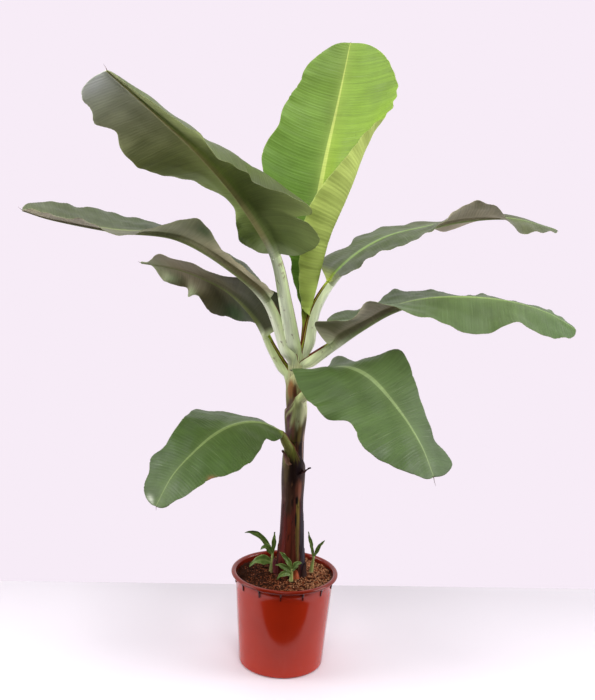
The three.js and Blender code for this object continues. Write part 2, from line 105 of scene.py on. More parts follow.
# Each leaf as in the solids: line has the reach and rise of the rib, stalk is the share of it with
# no blade, girth is the petiole's radius at the stem and at the blade. A half of the blade has its
# full width, and fullness, lift and curl (degrees) at even stages from base to tip; waves are the
# margin's height, count and start. layer is how far out the leaf's sheath lies on the stem, counted in
# sheaths, skirt how far it runs down the stem and fade the share of it that keeps the stalk's tone.
# stalk_tone, rib and keel are sRGB colours, and upper and under are such colours at even steps along
# the blade, also of one half; besides the leaf's own colour these steps hold painted light and shade: a
# leaf, a half or a stretch of it is made lighter or darker for how it is lit. A notch is its place along
# the blade, its reach and the share of the width that it takes. A mark is its places along and across the
# half, its reaches and its colour; some marks are dry spots and some are painted sheen.
LEAVES = [
    {"name": "top_left", "foot": [6, -22, 925], "heading": -132, "stalk": 0.28, "girth": [21, 13],
     "line": [[0, 0], [45, 135], [100, 270], [225, 410], [370, 530], [520, 630], [670, 725]],
     "base": 0.1, "tip": 0.8, "sweep": [-0.6, -0.2, -0.1, 0, 0],
     "left": {"under": [0x7E9052, 0xA4B46A, 0xAEBC72, 0xAEBA78, 0xA8AC7C],
              "notches": [(0.2, 0.013, 0.24)], "width": 170,
              "fullness": [0.6, 0.6, 0.85, 0.85, 1.1, 1.05] + [1] * 11,
              "lift": [10, 20, 42, 58, 38, 12, 0, -3, 0],
              "curl": [0, -15, -55, -115, -95, -55, -30, -26, -40], "waves": [6, 5, 0.5]},
     # painted sheen: the pale mark near this half's tip is a silvery highlight
     "right": {"marks_and_sheen": [(0.97, 0.6, 0.045, 0.45, 0xE8ECE4)],
               "width": 200,
               "fullness": [0.9, 0.85, 0.6, 0.42, 0.42, 0.75, 0.85, 0.9, 0.88, 0.85, 0.8, 0.78, 0.65, 0.76,
                            0.66, 0.78, 0.9],
               "lift": [15, 0, 5, -20, -28, -26, -26], "waves": [7, 4, 0.3]},
     "layer": 1, "skirt": 150, "stalk_tone": 0xE6EDCE, "rib": 0x8CA068, "keel": 0xD0C488,
     "upper": [0x4C562E],
     "under": [0x96A65E, 0xA8BA6E, 0xB6C078, 0xB4B88A, 0xC8CEBA]},
    {"name": "left_high", "foot": [0, -25, 905], "heading": -163, "stalk": 0.2, "girth": [21, 13],
     "line": [[0, 0], [75, 155], [185, 250], [330, 325], [490, 340], [640, 365], [720, 388]],
     "base": 0.15, "tip": 0.55, "sweep": [0, 0.05, 0.1],
     "left": {"marks_and_sheen": [(0.38, 0.78, 0.045, 0.3, 0x64783E)],
              "upper": [0x48542E, 0x404C2A, 0x545438, 0x6E704E, 0x74765A],
              "width": 145,
              "fullness": [1, 0.9, 0.7, 0.6, 0.55, 0.6, 0.8] + [1] * 10,
              "lift": [10, 5, 12, 26, 20, 3, 9, 14, 14], "waves": [5, 5, 0.2]},
     "right": {"width": 150,
               "fullness": [1] * 7 + [0.9, 0.75, 0.9, 1.1, 1.1, 1, 1.05, 1.1, 1.1, 1],
               "lift": [15, 8, 0, 0, 2, 9, 11, 15, 15], "waves": [4, 3.5, 0.5]},
     "fade": 0.35, "layer": 3, "skirt": 130, "stalk_tone": 0xF4F8DE, "rib": 0x93A060,
     "upper": [0x48542E, 0x404C2A, 0x404C2A, 0x4A5432, 0x585F42],
     "under": [0xB4AC88, 0xC4BC94, 0xB0B488, 0xB0A88C, 0xBCB492]},
    {"name": "right_high", "foot": [18, 0, 915], "heading": 15, "stalk": 0.22, "girth": [19, 12],
     "line": [[0, 0], [25, 125], [105, 237], [210, 308], [330, 340], [450, 362], [580, 365], [715, 335]],
     "base": 0.12, "tip": 0.55, "sweep": [-0.1, -0.1, -0.2, 0],
     "left": {"width": 145,
              "fullness": [1, 1, 1.15, 0.7, 1.1, 1.15, 1.15, 1.1, 1.1] + [1] * 8,
              "lift": [8, -1, -3, -6, -6, -20, -13, -1, 1], "waves": [6, 6, 0]},
     "right": {"width": 145,
               "fullness": [1, 0.9, 0.75, 0.75, 0.85, 0.92, 1, 1, 1, 0.85, 0.9, 0.95, 1, 0.85, 0.8, 0.9, 1],
               "lift": [20, 10, 2, 0, 0, 1, 2, 6, 16, 28, 30, 22, 2, -14, -14, -10, -5],
               "waves": [5, 4, 0.5]},
     "layer": 2, "skirt": 140, "stalk_tone": 0xF6F8E8, "rib": 0x8CAA58,
     "upper": [0x4C5436, 0x4C5A30, 0x505232, 0x4E5836],
     "under": [0x9A9270, 0xB0A688, 0xBEB298, 0xB4AA8C]},
    {"name": "right_low", "foot": [14, -10, 885], "heading": -4, "stalk": 0.12, "girth": [19, 14],
     "line": [[0, 0], [75, 55], [150, 112], [235, 165], [330, 197], [440, 208], [545, 202], [645, 178],
              [725, 137]],
     "base": 0.1, "tip": 0.55, "sweep": [-0.2, 0, 0.2],
     "left": {"width": 145,
              "fullness": [1, 1.1, 1, 0.85, 0.8, 1.2, 1.1] + [1] * 10,
              "lift": [20, 16, 12, 6, 3, 4, 0, -6, -8, -9, -10, -10, -8, -8, -6, 0, 0],
              "waves": [7, 5, 0]},
     "right": {"width": 155,
               "fullness": [1, 1, 1, 1, 1, 0.85, 1.05, 0.96, 0.94, 0.93, 0.93, 0.94, 0.84, 1, 1.12,
                            1.15, 1.1],
               "lift": [40, 38, 26, 16, 24, 12, -3, -12, -20, -27, -30, -22, -14, -16, -18, -18, -18],
               "waves": [6, 4, 0.5]},
     "layer": 4, "skirt": 130, "stalk_tone": 0xFAFCE4, "rib": 0x90A866,
     "upper": [0x5C6C40, 0x566A3E, 0x54683C, 0x566A3E, 0x46602E],
     "under": [0xA8A084, 0xB0A88C, 0xA8A084]},
    {"name": "top", "foot": [22, 6, 905], "heading": 60, "stalk": 0.11, "girth": [17, 13],
     "line": [[0, 0], [8, 165], [22, 330], [62, 500], [120, 665], [172, 825]],
     "base": 0.4, "tip": 0.65, "sweep": [0, 0.2, 0.1],
     "left": {"width": 160,
              "fullness": [0.4, 0.42, 0.46, 0.52, 0.62, 0.75, 0.9, 1, 1.07, 1.02, 0.9, 0.9, 0.86, 0.8, 0.85,
                           0.8, 0.8],
              "lift": [-30, -20, 10, 20, 20], "curl": [120, 120, 30, 0, 0], "waves": [5, 5, 0]},
     "right": {"upper": [0x74982C, 0x809E32, 0x84A036, 0x7E9C38, 0x7A983C],
               "width": 230, "fullness": [0.7, 0.8, 1, 0.9, 0.9], "lift": [-30, -25, -20, 0, 0],
               "curl": [270, 220, 130, 30, 10], "waves": [5, 3, 0.5]},
     "layer": 0, "skirt": 60, "stalk_tone": 0xD0DC84, "rib": 0xC4D070,
     "upper": [0x567A2C, 0x628434, 0x648436, 0x6C8A38, 0x708C3C],
     "under": [0xB4C864, 0xBCCC6C, 0xBCCC6C]},
    {"name": "left_low", "foot": [-10, 5, 850], "heading": 160, "stalk": 0.2, "girth": [17, 11],
     "line": [[0, 0], [50, 65], [100, 140], [180, 205], [270, 237], [355, 252], [460, 254]],
     "base": 0.15, "tip": 0.55, "sweep": [-0.1, 0, 0.1],
     "left": {"width": 120,
              "fullness": [1, 1.05, 1.05] + [1] * 9 + [1.05, 0.9, 0.6, 0.4, 0.3],
              "lift": [75, 72, 52, 34, 27, 26, 28, 24, 15], "waves": [5, 4, 0]},
     # painted sheen: the second and third marks, pale green, stand for light caught on this half's curled
     # margin
     "right": {"marks_and_sheen": [(0.3, 0.75, 0.1, 0.35, 0x3C5A22), (0.62, 0.85, 0.05, 0.25, 0xA4B088),
                         (0.8, 0.8, 0.06, 0.3, 0xA8B48C)],
               "width": 150,
               "fullness": [0.5, 0.5, 0.45, 0.65, 0.8, 0.8, 0.78, 0.65, 0.6, 0.6, 0.55, 0.45, 0.45, 0.5,
                            0.5, 0.4, 0.3],
               "lift": [-20, -40, -50, -40, -40, -20, -10],
               "curl": [0, 0, 0, 0, 0, 0, -20, -80, -150, -160, -110, -60, -90, -120, -90, -40, 0],
               "waves": [6, 4, 0.5]},
     "fade": 0.15, "layer": 5, "skirt": 130, "stalk_tone": 0xD8DEBC, "rib": 0x6E7840,
     "upper": [0x8FA26A],
     "under": [0x505038, 0x50523A, 0x706A50, 0x8C8468, 0x9AA67C]},
    {"name": "front_right", "foot": [14, -25, 790], "heading": -38, "stalk": 0.14, "girth": [17, 12],
     "line": [[0, 0], [60, 65], [135, 112], [227, 104], [326, 37], [400, -40], [445, -115]],
     "base": 0.1, "tip": 0.6, "sweep": [-0.2, -0.1, 0.3],
     "left": {"upper": [0x526638, 0x546A3A, 0x50653A, 0x485E32],
              "width": 140,
              "fullness": [1, 1, 0.85, 0.6, 0.55, 0.75, 1.05, 1, 0.9, 0.83, 0.78, 0.72, 0.66, 0.78, 1.1,
                           1.4, 1.3],
              "lift": [25, 20, 6, 4, 8, 14, 16, 12, 10, 6, 0, -5, -8, -10, -8, -4, 0], "waves": [4, 3, 0]},
     "right": {"width": 170,
               "fullness": [0.6, 0.65, 0.75, 0.95, 1.05, 1.05, 1.05, 1.1, 1.08, 0.84, 0.9, 1.04, 1, 0.87,
                            0.78, 0.6, 0.5],
               "lift": [30, 8, -20, -22, -15, -10, -10], "waves": [6, 4, 0.5]},
     "fade": 0.7, "layer": 6, "skirt": 130, "stalk_tone": 0xE6EAB8, "rib": 0x8CA068,
     "upper": [0x48602E, 0x4A602E, 0x4A6030, 0x485E2F],
     "under": [0x5A5C46]},
    {"name": "front_left", "foot": [0, -28, 650], "heading": -140, "stalk": 0.12, "girth": [13, 9],
     "line": [[0, 0], [35, 50], [110, 88], [190, 95], [261, 76], [330, 35], [390, -15], [436, -86]],
     "base": 0.25, "tip": 0.55, "sweep": [0, 0.1, 0.2],
     "left": {"marks_and_sheen": [(0.69, 1, 0.02, 0.08, 0x8A6040)],
              "width": 135,
              "fullness": [0.8, 0.76, 0.65, 0.5, 0.62, 0.8, 0.91, 0.97, 1, 1.04, 1.02, 0.85, 0.84, 0.86,
                           0.76, 0.66, 0.6],
              "lift": [-20, -30, -25, -20, -8, -5, 0], "waves": [4, 4, 0]},
     "right": {"marks_and_sheen": [(0.97, 0.7, 0.02, 0.2, 0xC8D0B8), (0.12, 1, 0.08, 0.05, 0x6E4A30)],
               "width": 125,
               "fullness": [1, 1.3, 1.1, 1, 1.35, 1.4, 1.25, 1.03, 0.88, 0.78, 0.74, 0.8, 1.02, 1, 1.1,
                            1.27, 1.2],
               "lift": [6, -4, -1, 16, 10, -5, -10], "waves": [4, 3, 0.5]},
     "fade": 0.3, "layer": 5.5, "skirt": 190, "stalk_tone": 0x80803E, "rib": 0x84985A,
     "upper": [0x4A6030, 0x4A602C, 0x48602C, 0x506634],
     "under": [0x505440]},
]

# ---- small tools ----
def linear(tone):
    """An sRGB colour such as 0x6A7A50 as linear red, green and blue."""
    parts = np.array([(tone >> shift) & 255 for shift in (16, 8, 0)]) / 255
    return np.where(parts <= 0.04045, parts / 12.92, ((parts + 0.055) / 1.055) ** 2.4)


def smooth(x):
    """0 below 0, 1 above 1 and a soft step between."""
    x = np.clip(x, 0, 1)
    return x * x * (3 - 2 * x)


def mixed(a, b, share):
    """Colours a and b mixed by share, which has one value for each point."""
    return a + (b - a) * np.asarray(share)[..., None]


def keyed(keys, t):
    """Value at t (0 to 1) of evenly spaced keys joined by a smooth curve."""
    keys = np.asarray(keys, float)
    last = len(keys) - 1
    if last == 0:
        return np.full(np.shape(t), keys[0])
    x = np.clip(t, 0, 1) * last
    i = np.minimum(x.astype(int), last - 1)
    f = x - i
    ends = np.concatenate([[2 * keys[0] - keys[1]], keys, [2 * keys[-1] - keys[-2]]])
    a, b, c, d = ends[i], ends[i + 1], ends[i + 2], ends[i + 3]
    return b + 0.5 * f * (c - a + f * (2 * a - 5 * b + 4 * c - d + f * (3 * (b - c) + d - a)))


def ripples(rng, count, shortest, longest):
    """A smooth random height over x and y, about -1 to 1, with waves between two lengths."""
    reach = 2 * math.pi / rng.uniform(shortest, longest, count)
    turn = rng.uniform(0, 2 * math.pi, count)
    start = rng.uniform(0, 2 * math.pi, count)

    def height(x, y):
        total = 0
        for k, a, s in zip(reach, turn, start):
            total = total + np.sin(k * (x * math.cos(a) + y * math.sin(a)) + s)
        return total / math.sqrt(count)

    return height


def mesh_piece(name, places, faces, tints=None, runs=None, sides=None, soft=True):
    """A mesh object. tints are colours and runs are pattern coordinates of the places, sides are the
    material numbers of the faces, and soft tells whether they are shaded as one smooth surface."""
    mesh = bpy.data.meshes.new(name)
    listed = faces if isinstance(faces, list) else faces.tolist()
    vertices = np.reshape(places, (-1, 3))
    mesh.from_pydata(vertices.tolist(), [], listed)
    if tints is not None:
        layer = mesh.color_attributes.new("tint", "FLOAT_COLOR", "POINT")
        values = np.ones((len(vertices), 4))
        values[:, :3] = np.clip(np.reshape(tints, (-1, 3)), 0, 1)
        layer.data.foreach_set("color", values.ravel())
    if runs is not None:
        corners = np.empty(len(mesh.loops), int)
        mesh.loops.foreach_get("vertex_index", corners)
        layer = mesh.uv_layers.new(name="run")
        layer.data.foreach_set("uv", np.reshape(runs, (-1, 2))[corners].ravel())
    if sides is not None:
        mesh.polygons.foreach_set("material_index", np.asarray(sides, int))
    mesh.polygons.foreach_set("use_smooth", [soft] * len(mesh.polygons))
    mesh.update()
    piece = bpy.data.objects.new(name, mesh)
    bpy.context.collection.objects.link(piece)
    return piece


def dressed(piece, slot, materials, *nodes):
    """Gives a piece its materials, puts it under the root body and hides the named solids."""
    for material in materials:
        piece.data.materials.append(material)
    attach(piece, "root")
    if nodes:
        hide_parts(*nodes)


def ring_faces(rows, count):
    """Quads of rows of rings with count vertices each."""
    i, k = np.meshgrid(np.arange(rows - 1), np.arange(count), indexing="ij")
    along = (k + 1) % count
    corners = [i * count + k, i * count + along, (i + 1) * count + along, (i + 1) * count + k]
    return np.stack(corners, -1).reshape(-1, 4)


def end_faces(rows, count, first=0):
    """The two faces that close rows of rings whose vertices start at the number first."""
    last = first + (rows - 1) * count
    return [tuple(first + k for k in range(count - 1, -1, -1)), tuple(last + k for k in range(count))]


def tube_faces(rows, count):
    """Faces of a closed body of rings."""
    return ring_faces(rows, count).tolist() + end_faces(rows, count)


def stages(rows):
    """Shares from 0 to 1 for the rows of a body, as a column."""
    return np.linspace(0, 1, rows)[:, None]


def round_turn(count):
    """Angles of count vertices round a ring."""
    return np.linspace(0, 2 * np.pi, count, endpoint=False)[None, :]


def rings(x, y, z, radius, turn):
    """Places on level rings round the centre x, y at the height z."""
    return np.stack([x + radius * np.cos(turn), y + radius * np.sin(turn), z + 0 * turn], -1)


def spread_out(degrees):
    """The level directions away from the middle at an angle, and to the left of it."""
    a = math.radians(degrees)
    return np.array([math.cos(a), math.sin(a), 0]), np.array([-math.sin(a), math.cos(a), 0])


def closed_sheet(upper, lower):
    """Vertices and faces of a thin closed body between two grids of the same shape."""
    rows, columns = upper.shape[:2]
    i, k = np.meshgrid(np.arange(rows - 1), np.arange(columns - 1), indexing="ij")
    top = np.stack([i * columns + k, i * columns + k + 1, (i + 1) * columns + k + 1,
                    (i + 1) * columns + k], -1).reshape(-1, 4)
    base = rows * columns
    rim = [(0, k) for k in range(columns)] + [(i, columns - 1) for i in range(1, rows)]
    rim += [(rows - 1, k) for k in range(columns - 2, -1, -1)] + [(i, 0) for i in range(rows - 2, 0, -1)]
    rim = [i * columns + k for i, k in rim]
    wall = [(a, base + a, base + b, b) for a, b in zip(rim, rim[1:] + rim[:1])]
    vertices = np.concatenate([upper.reshape(-1, 3), lower.reshape(-1, 3)])
    return vertices, np.concatenate([top, base + top[:, ::-1], np.array(wall)])


def gathered(parts):
    """Vertices and faces of several bodies as one."""
    vertices, faces, start = [], [], 0
    for points, quads in parts:
        vertices.append(points)
        faces.append(np.asarray(quads) + start)
        start += len(points)
    return np.concatenate(vertices), np.concatenate(faces)


# ---- materials ----
class Surface:
    """A procedural material: a Principled shader with a few kinds of pattern on it."""

    def __init__(self, name, colour=None, **sockets):
        self.material = bpy.data.materials.new(name)
        self.material.use_nodes = True
        self.tree = self.material.node_tree
        self.shader = self.tree.nodes["Principled BSDF"]
        for socket, value in sockets.items():
            self.shader.inputs[socket.replace("_", " ")].default_value = value
        if colour is None:
            tint = self.node("ShaderNodeAttribute", attribute_name="tint")
            self.colour = tint.outputs["Color"]
        else:
            base = self.node("ShaderNodeRGB")
            base.outputs[0].default_value = (*linear(colour), 1)
            self.colour = base.outputs[0]
        self.bumped = None

    def node(self, kind, **settings):
        made = self.tree.nodes.new(kind)
        for key, value in settings.items():
            setattr(made, key, value)
        return made

    def link(self, source, target):
        self.tree.links.new(source, target)

    def noise(self, scale, detail, along_run=False, distortion=0):
        """Noise from 0 to 1; scale is waves per metre in each direction, of the piece's own space or of
        its pattern coordinates."""
        coordinates = self.node("ShaderNodeTexCoord")
        source = coordinates.outputs["Object"]
        if along_run:
            source = self.node("ShaderNodeUVMap", uv_map="run").outputs["UV"]
        mapping = self.node("ShaderNodeMapping")
        mapping.inputs["Scale"].default_value = scale if hasattr(scale, "__len__") else (scale,) * 3
        self.link(source, mapping.inputs["Vector"])
        texture = self.node("ShaderNodeTexNoise")
        texture.inputs["Scale"].default_value = 1
        texture.inputs["Detail"].default_value = detail
        texture.inputs["Distortion"].default_value = distortion
        self.link(mapping.outputs["Vector"], texture.inputs["Vector"])
        return texture.outputs["Fac"]

    def ranged(self, value, low, high, least=0.0, most=1.0):
        """value moved from the range low to high into least to most, and held there."""
        made = self.node("ShaderNodeMapRange")
        for socket, number in (("From Min", low), ("From Max", high), ("To Min", least), ("To Max", most)):
            made.inputs[socket].default_value = number
        self.link(value, made.inputs["Value"])
        return made.outputs["Result"]

    def shade(self, value, least, most, low=0.3, high=0.7):
        """Multiplies the colour by value, ranged from least to most where it passes from low to high."""
        scale = self.node("ShaderNodeVectorMath", operation="SCALE")
        self.link(self.colour, scale.inputs[0])
        self.link(self.ranged(value, low, high, least, most), scale.inputs["Scale"])
        self.colour = scale.outputs["Vector"]
        return self

    def stain(self, value, low, high, colour, most=1.0):
        """Mixes a colour in where value passes from low to high."""
        mix = self.node("ShaderNodeMix", data_type="RGBA")
        self.link(self.ranged(value, low, high, 0, most), mix.inputs["Factor"])
        self.link(self.colour, mix.inputs["A"])
        mix.inputs["B"].default_value = (*linear(colour), 1)
        self.colour = mix.outputs["Result"]
        return self

    def rough(self, value, least, most):
        self.link(self.ranged(value, 0.3, 0.7, least, most), self.shader.inputs["Roughness"])
        return self

    def bump(self, value, distance, strength=1.0):
        bump = self.node("ShaderNodeBump")
        bump.inputs["Distance"].default_value = distance
        bump.inputs["Strength"].default_value = strength
        self.link(value, bump.inputs["Height"])
        if self.bumped is not None:
            self.link(self.bumped, bump.inputs["Normal"])
        self.bumped = bump.outputs["Normal"]
        return self

    def done(self):
        self.link(self.colour, self.shader.inputs["Base Color"])
        if self.bumped is not None:
            self.link(self.bumped, self.shader.inputs["Normal"])
        return self.material


def spots(surface, scale, size):
    """Sparse round spots: 1 inside a spot."""
    coordinates = surface.node("ShaderNodeTexCoord")
    texture = surface.node("ShaderNodeTexVoronoi")
    texture.inputs["Scale"].default_value = scale
    surface.link(coordinates.outputs["Object"], texture.inputs["Vector"])
    return surface.ranged(texture.outputs["Distance"], size, size * 0.5)


def leaf_upper():
    s = Surface("leaf_upper", Specular_IOR_Level=0.35)
    veins = s.noise((260, 5, 1), 4, True, 0.15)
    fine = s.noise((900, 12, 1), 2, True)
    s.shade(veins, 0.9, 1.09, 0.32, 0.68).shade(fine, 0.94, 1.06)
    s.shade(s.noise((90, 3, 1), 3, True), 0.95, 1.05, 0.35, 0.65).shade(s.noise(12, 4), 0.84, 1.14)
    s.stain(s.noise((640, 7, 1), 3, True), 0.64, 0.74, 0xC4CCA8, 0.22)
    s.stain(spots(s, 38, 0.06), 0, 1, 0x4E3A20, 0.6)
    s.rough(s.noise(40, 3), 0.42, 0.56)
    return s.bump(veins, 0.0009, 0.7).bump(fine, 0.0003, 0.5).done()


def leaf_under():
    s = Surface("leaf_under", Specular_IOR_Level=0.2)
    veins = s.noise((240, 5, 1), 4, True, 0.15)
    fine = s.noise((800, 12, 1), 2, True)
    s.shade(veins, 0.91, 1.08, 0.32, 0.68).shade(fine, 0.93, 1.07)
    s.shade(s.noise((80, 3, 1), 3, True), 0.96, 1.04, 0.35, 0.65).shade(s.noise(9, 4), 0.88, 1.1)
    s.rough(s.noise(30, 3), 0.55, 0.7)
    return s.bump(veins, 0.0005, 0.6).bump(fine, 0.0002, 0.5).done()


def stalk_skin():
    s = Surface("stalk_skin", Specular_IOR_Level=0.2)
    streak = s.noise((9, 420, 1), 4, True, 0.1)
    s.shade(streak, 0.86, 1.12).shade(s.noise((5, 60, 1), 3, True), 0.86, 1.12, 0.35, 0.65)
    s.shade(s.noise((7, 110, 1), 4, True), 1, 1.3, 0.48, 0.66)
    s.stain(s.noise((40, 130, 1), 5, True), 0.6, 0.68, 0x6A4A30, 0.6)
    s.rough(s.noise(50, 3), 0.42, 0.6)
    return s.bump(streak, 0.0008, 0.8).done()


def stem_skin():
    s = Surface("stem_skin", Specular_IOR_Level=0.15)
    streak = s.noise((5, 260, 1), 5, True, 0.2)
    s.shade(streak, 0.55, 1.4, 0.32, 0.68).shade(s.noise((3, 70, 1), 3, True), 0.7, 1.25, 0.35, 0.65)
    s.stain(s.noise((4, 110, 1), 4, True), 0.58, 0.7, 0x6A2A1E, 0.55)
    s.stain(s.noise((24, 120, 1), 5, True), 0.6, 0.68, 0x120B08, 0.8)
    s.rough(s.noise((8, 90, 1), 3, True), 0.4, 0.65)
    return s.bump(streak, 0.0016, 0.9).bump(s.noise(260, 3), 0.0003, 0.4).done()


def dry_skin():
    s = Surface("dry_skin", 0x5F3A26, Roughness=0.85, Specular_IOR_Level=0.2)
    grain = s.noise((30, 30, 160), 4)
    s.shade(grain, 0.5, 1.3).stain(s.noise(90, 3), 0.5, 0.7, 0x2A1812, 0.8)
    return s.bump(grain, 0.0012, 0.8).done()


def sucker_skin():
    s = Surface("sucker_skin", Specular_IOR_Level=0.45)
    veins = s.noise((60, 700, 1), 3, True)
    s.shade(veins, 0.85, 1.12).shade(s.noise(60, 3), 0.85, 1.1)
    s.rough(s.noise(60, 3), 0.35, 0.5)
    return s.bump(veins, 0.0004, 0.5).done()


def compost(name, colour, dark, light):
    s = Surface(name, colour, Specular_IOR_Level=0.2)
    grain = s.noise(420, 5)
    s.shade(s.noise(90, 4), dark, light).shade(grain, 0.6, 1.4)
    s.rough(grain, 0.8, 0.98)
    return s.bump(grain, 0.002, 1.0).done()


def pot_plastic(name, colour=None):
    s = Surface(name, colour, Specular_IOR_Level=0.37)
    s.shade(s.noise((3, 3, 9), 3), 0.94, 1.06)
    s.stain(s.noise((30, 30, 8), 4), 0.58, 0.75, 0xC06A58, 0.06)
    s.stain(s.noise(260, 4), 0.74, 0.8, 0x5A1A10, 0.4)
    s.rough(s.noise((9, 9, 9), 3), 0.1, 0.17)
    return s.bump(s.noise(900, 2), 0.00005, 0.4).bump(s.noise((5, 5, 9), 2), 0.0004, 0.2).done()


# ---- leaves ----
# Columns of a half: the keel's, from the rib's middle to its edge, and the lamina's out to the margin.
KEEL_COLUMNS = 6
LAMINA_COLUMNS = 18
COLUMNS = KEEL_COLUMNS + LAMINA_COLUMNS
KEEL = np.arange(KEEL_COLUMNS + 1) / KEEL_COLUMNS
# The rib: how finely its line is followed, its radius at the leaf's tip, how it tapers, and its depth
# as a multiple of its radius.
RIB_POINTS = 401
RIB_STEP = 0.004
RIB_TIP = 1.2 * MM
RIB_TAPER = 1.15
RIB_DEPTH = 1.75
# The lamina's thickness, and how far in from the margin it thins out.
LAMINA = 1.3 * MM
EDGE = 2.5 * MM
LEAST_CURL = 1e-3
# The blade's surface: count, shortest and longest of its waves in metres, and heights in millimetres.
SWELL = (7, 0.05, 0.16)
SWELL_HEIGHT = 1.6
FRILL = (4, 0.03, 0.07)
FRILL_HEIGHT = 2.2
PLEAT = 8 * MM
PLEAT_HEIGHT = 0.5 * MM
PLEAT_SPREAD = (0.75, 1.25)
ROWS_PER_PLEAT = 4
# Nicks of the margin: count, and the ranges of place, depth and reach, the last two in millimetres.
NICKS = 9
NICK_PLACES = (0.1, 0.96)
NICK_DEPTHS = (0.6, 3.0)
NICK_REACHES = (1.2, 3.5)
# Shares of the blade over which its halves open and its surface comes out of its plain form.
OPENING = 0.05
RELIEF_START = 0.04
# The petiole: half the turn of its gutter in degrees, the size of its channel, and its two wings.
GUTTER_TURN = 140
CHANNEL_SIZE = 0.68
WING_LEAN = np.array([-0.34, 0.94])
WING = 3 * MM
# Shares of the rib: how far before the blade the gutter begins to open, and how long that takes.
JOIN_START = 0.035
JOIN_LENGTH = 0.075
# The sheath round the stem: how far it sinks in at its lower end, the turns of its keel and margin from
# its middle in degrees, and the lengths over which the leaf comes out of the stem.
SKIRT_ROWS = 30
PETIOLE_ROWS = 44
SKIRT_THICKNESS = 1.8 * MM
SKIRT_SINK = 5.5 * MM
SKIRT_FADE = 0.5
KEEL_TURN = 50
KEEL_TURN_LOW = 15
MARGIN_TURN = 72
MARGIN_TURN_LOW = 95
MARGIN_TURN_HIGH = 12
LAYER_STEP = 1.1 * MM
OUTER_LAYER = 5
EMERGE = 30 * MM
SINK = 45 * MM
# Tones of the margin and the petiole; RIB_GLOW is how far the rib's tone reaches into the blade.
MARGIN_DRY = linear(0x6A3420)
MARGIN_PALE = linear(0xA8AE78)
CHANNEL = linear(0xAEBC4A)
STALK_SIDE = np.array([0.6, 0.68, 0.4])
RIB_GLOW = 0.018
MARGIN_LINE = 1.4 * MM


def width_share(t, base, tip):
    """Share of the full half-width at t: a rounded base, parallel sides and an elliptical tip."""
    root = np.sin(np.pi / 2 * np.clip(t / base, 0, 1)) ** 0.7
    past = np.clip((t - tip) / (1 - tip), 0, 1)
    return root * np.sqrt(1 - past * past)


def stem_share(z):
    return np.clip((z / MM - STEM_FOOT_Z) / (STEM_TOP_Z - STEM_FOOT_Z), 0, 1)


def stem_centre(z):
    return keyed(STEM_AXIS, stem_share(z)) * MM


def stem_radius(z):
    return keyed(STEM_RADII, stem_share(z)) * MM


def rib_of(leaf):
    """The rib's length, and frame_at(shares): its points there with the directions along it, out of
    its upper side and to its left."""
    ahead, left = spread_out(leaf["heading"])
    line = np.array(leaf["line"], float) * MM
    fine = np.linspace(0, 1, RIB_POINTS)
    points = np.array(leaf["foot"]) * MM + np.outer(keyed(line[:, 0], fine), ahead)
    points[:, 2] += keyed(line[:, 1], fine)
    runs = np.concatenate([[0], np.cumsum(np.linalg.norm(np.diff(points, axis=0), axis=1))])

    def point_at(share):
        want = np.clip(share, 0, 1) * runs[-1]
        return np.stack([np.interp(want, runs, points[:, k]) for k in range(3)], -1)

    def frame_at(share):
        tangent = point_at(share + RIB_STEP) - point_at(share - RIB_STEP)
        tangent /= np.linalg.norm(tangent, axis=-1)[:, None]
        up = np.cross(tangent, left)
        up /= np.linalg.norm(up, axis=-1)[:, None]
        return point_at(share), tangent, up, np.cross(up, tangent)

    return runs[-1], frame_at


def nicks(rng, t, length):
    """How far the margin is cut in at t by small nicks between the veins."""
    cut = np.zeros_like(t)
    for _ in range(NICKS):
        place = rng.uniform(*NICK_PLACES)
        depth = rng.uniform(*NICK_DEPTHS) * MM
        reach = rng.uniform(*NICK_REACHES) * MM / length
        cut = np.maximum(cut, depth * np.exp(-np.abs((t - place) / reach)))
    return cut


def toned(tones, t):
    """Colours at shares t of the way along sRGB tones at even steps."""
    parts = np.array([linear(tone) for tone in tones])
    return np.stack([keyed(parts[:, k], t) for k in range(3)], -1)


def half_outline(leaf, half, share, length, rng):
    """For rows at shares of the rib: their place along the blade (0 to 1), the radius of the stalk or
    the rib, and the width of the half."""
    stalk = leaf["stalk"]
    t = np.clip((share - stalk) / (BLADE_END - stalk), 0, 1)
    thick, thin = (g * MM for g in leaf["girth"])
    stalk_radius = thick + (thin - thick) * np.clip(share / stalk, 0, 1)
    rib_radius = RIB_TIP + (thin - RIB_TIP) * (1 - t) ** RIB_TAPER
    radius = np.where(share < stalk, stalk_radius, rib_radius)
    width = half["width"] * MM * width_share(t, leaf["base"], leaf["tip"])
    width = width * keyed(half["fullness"], t)
    for place, reach, depth in half.get("notches", []):
        width = width * (1 - depth * np.exp(-((t - place) / reach) ** 2))
    width = width - nicks(rng, t, length * (1 - stalk)) * smooth(t / OPENING)
    return t, radius, np.maximum(np.maximum(width, MARGIN_LEAST * MM), radius + WING)


def half_columns(radius, width):
    """Distances from the rib's middle: the keel's columns up to the rib's edge, then the lamina's."""
    lamina = width - radius
    edge = np.minimum(EDGE, 0.3 * lamina)
    steps = np.arange(1, LAMINA_COLUMNS - 1) / (LAMINA_COLUMNS - 2)
    spread = radius[:, None] + (lamina - edge)[:, None] * steps
    rim = np.stack([width - 0.45 * edge, width], 1)
    return np.concatenate([radius[:, None] * np.sin(np.pi / 2 * KEEL), spread, rim], 1)


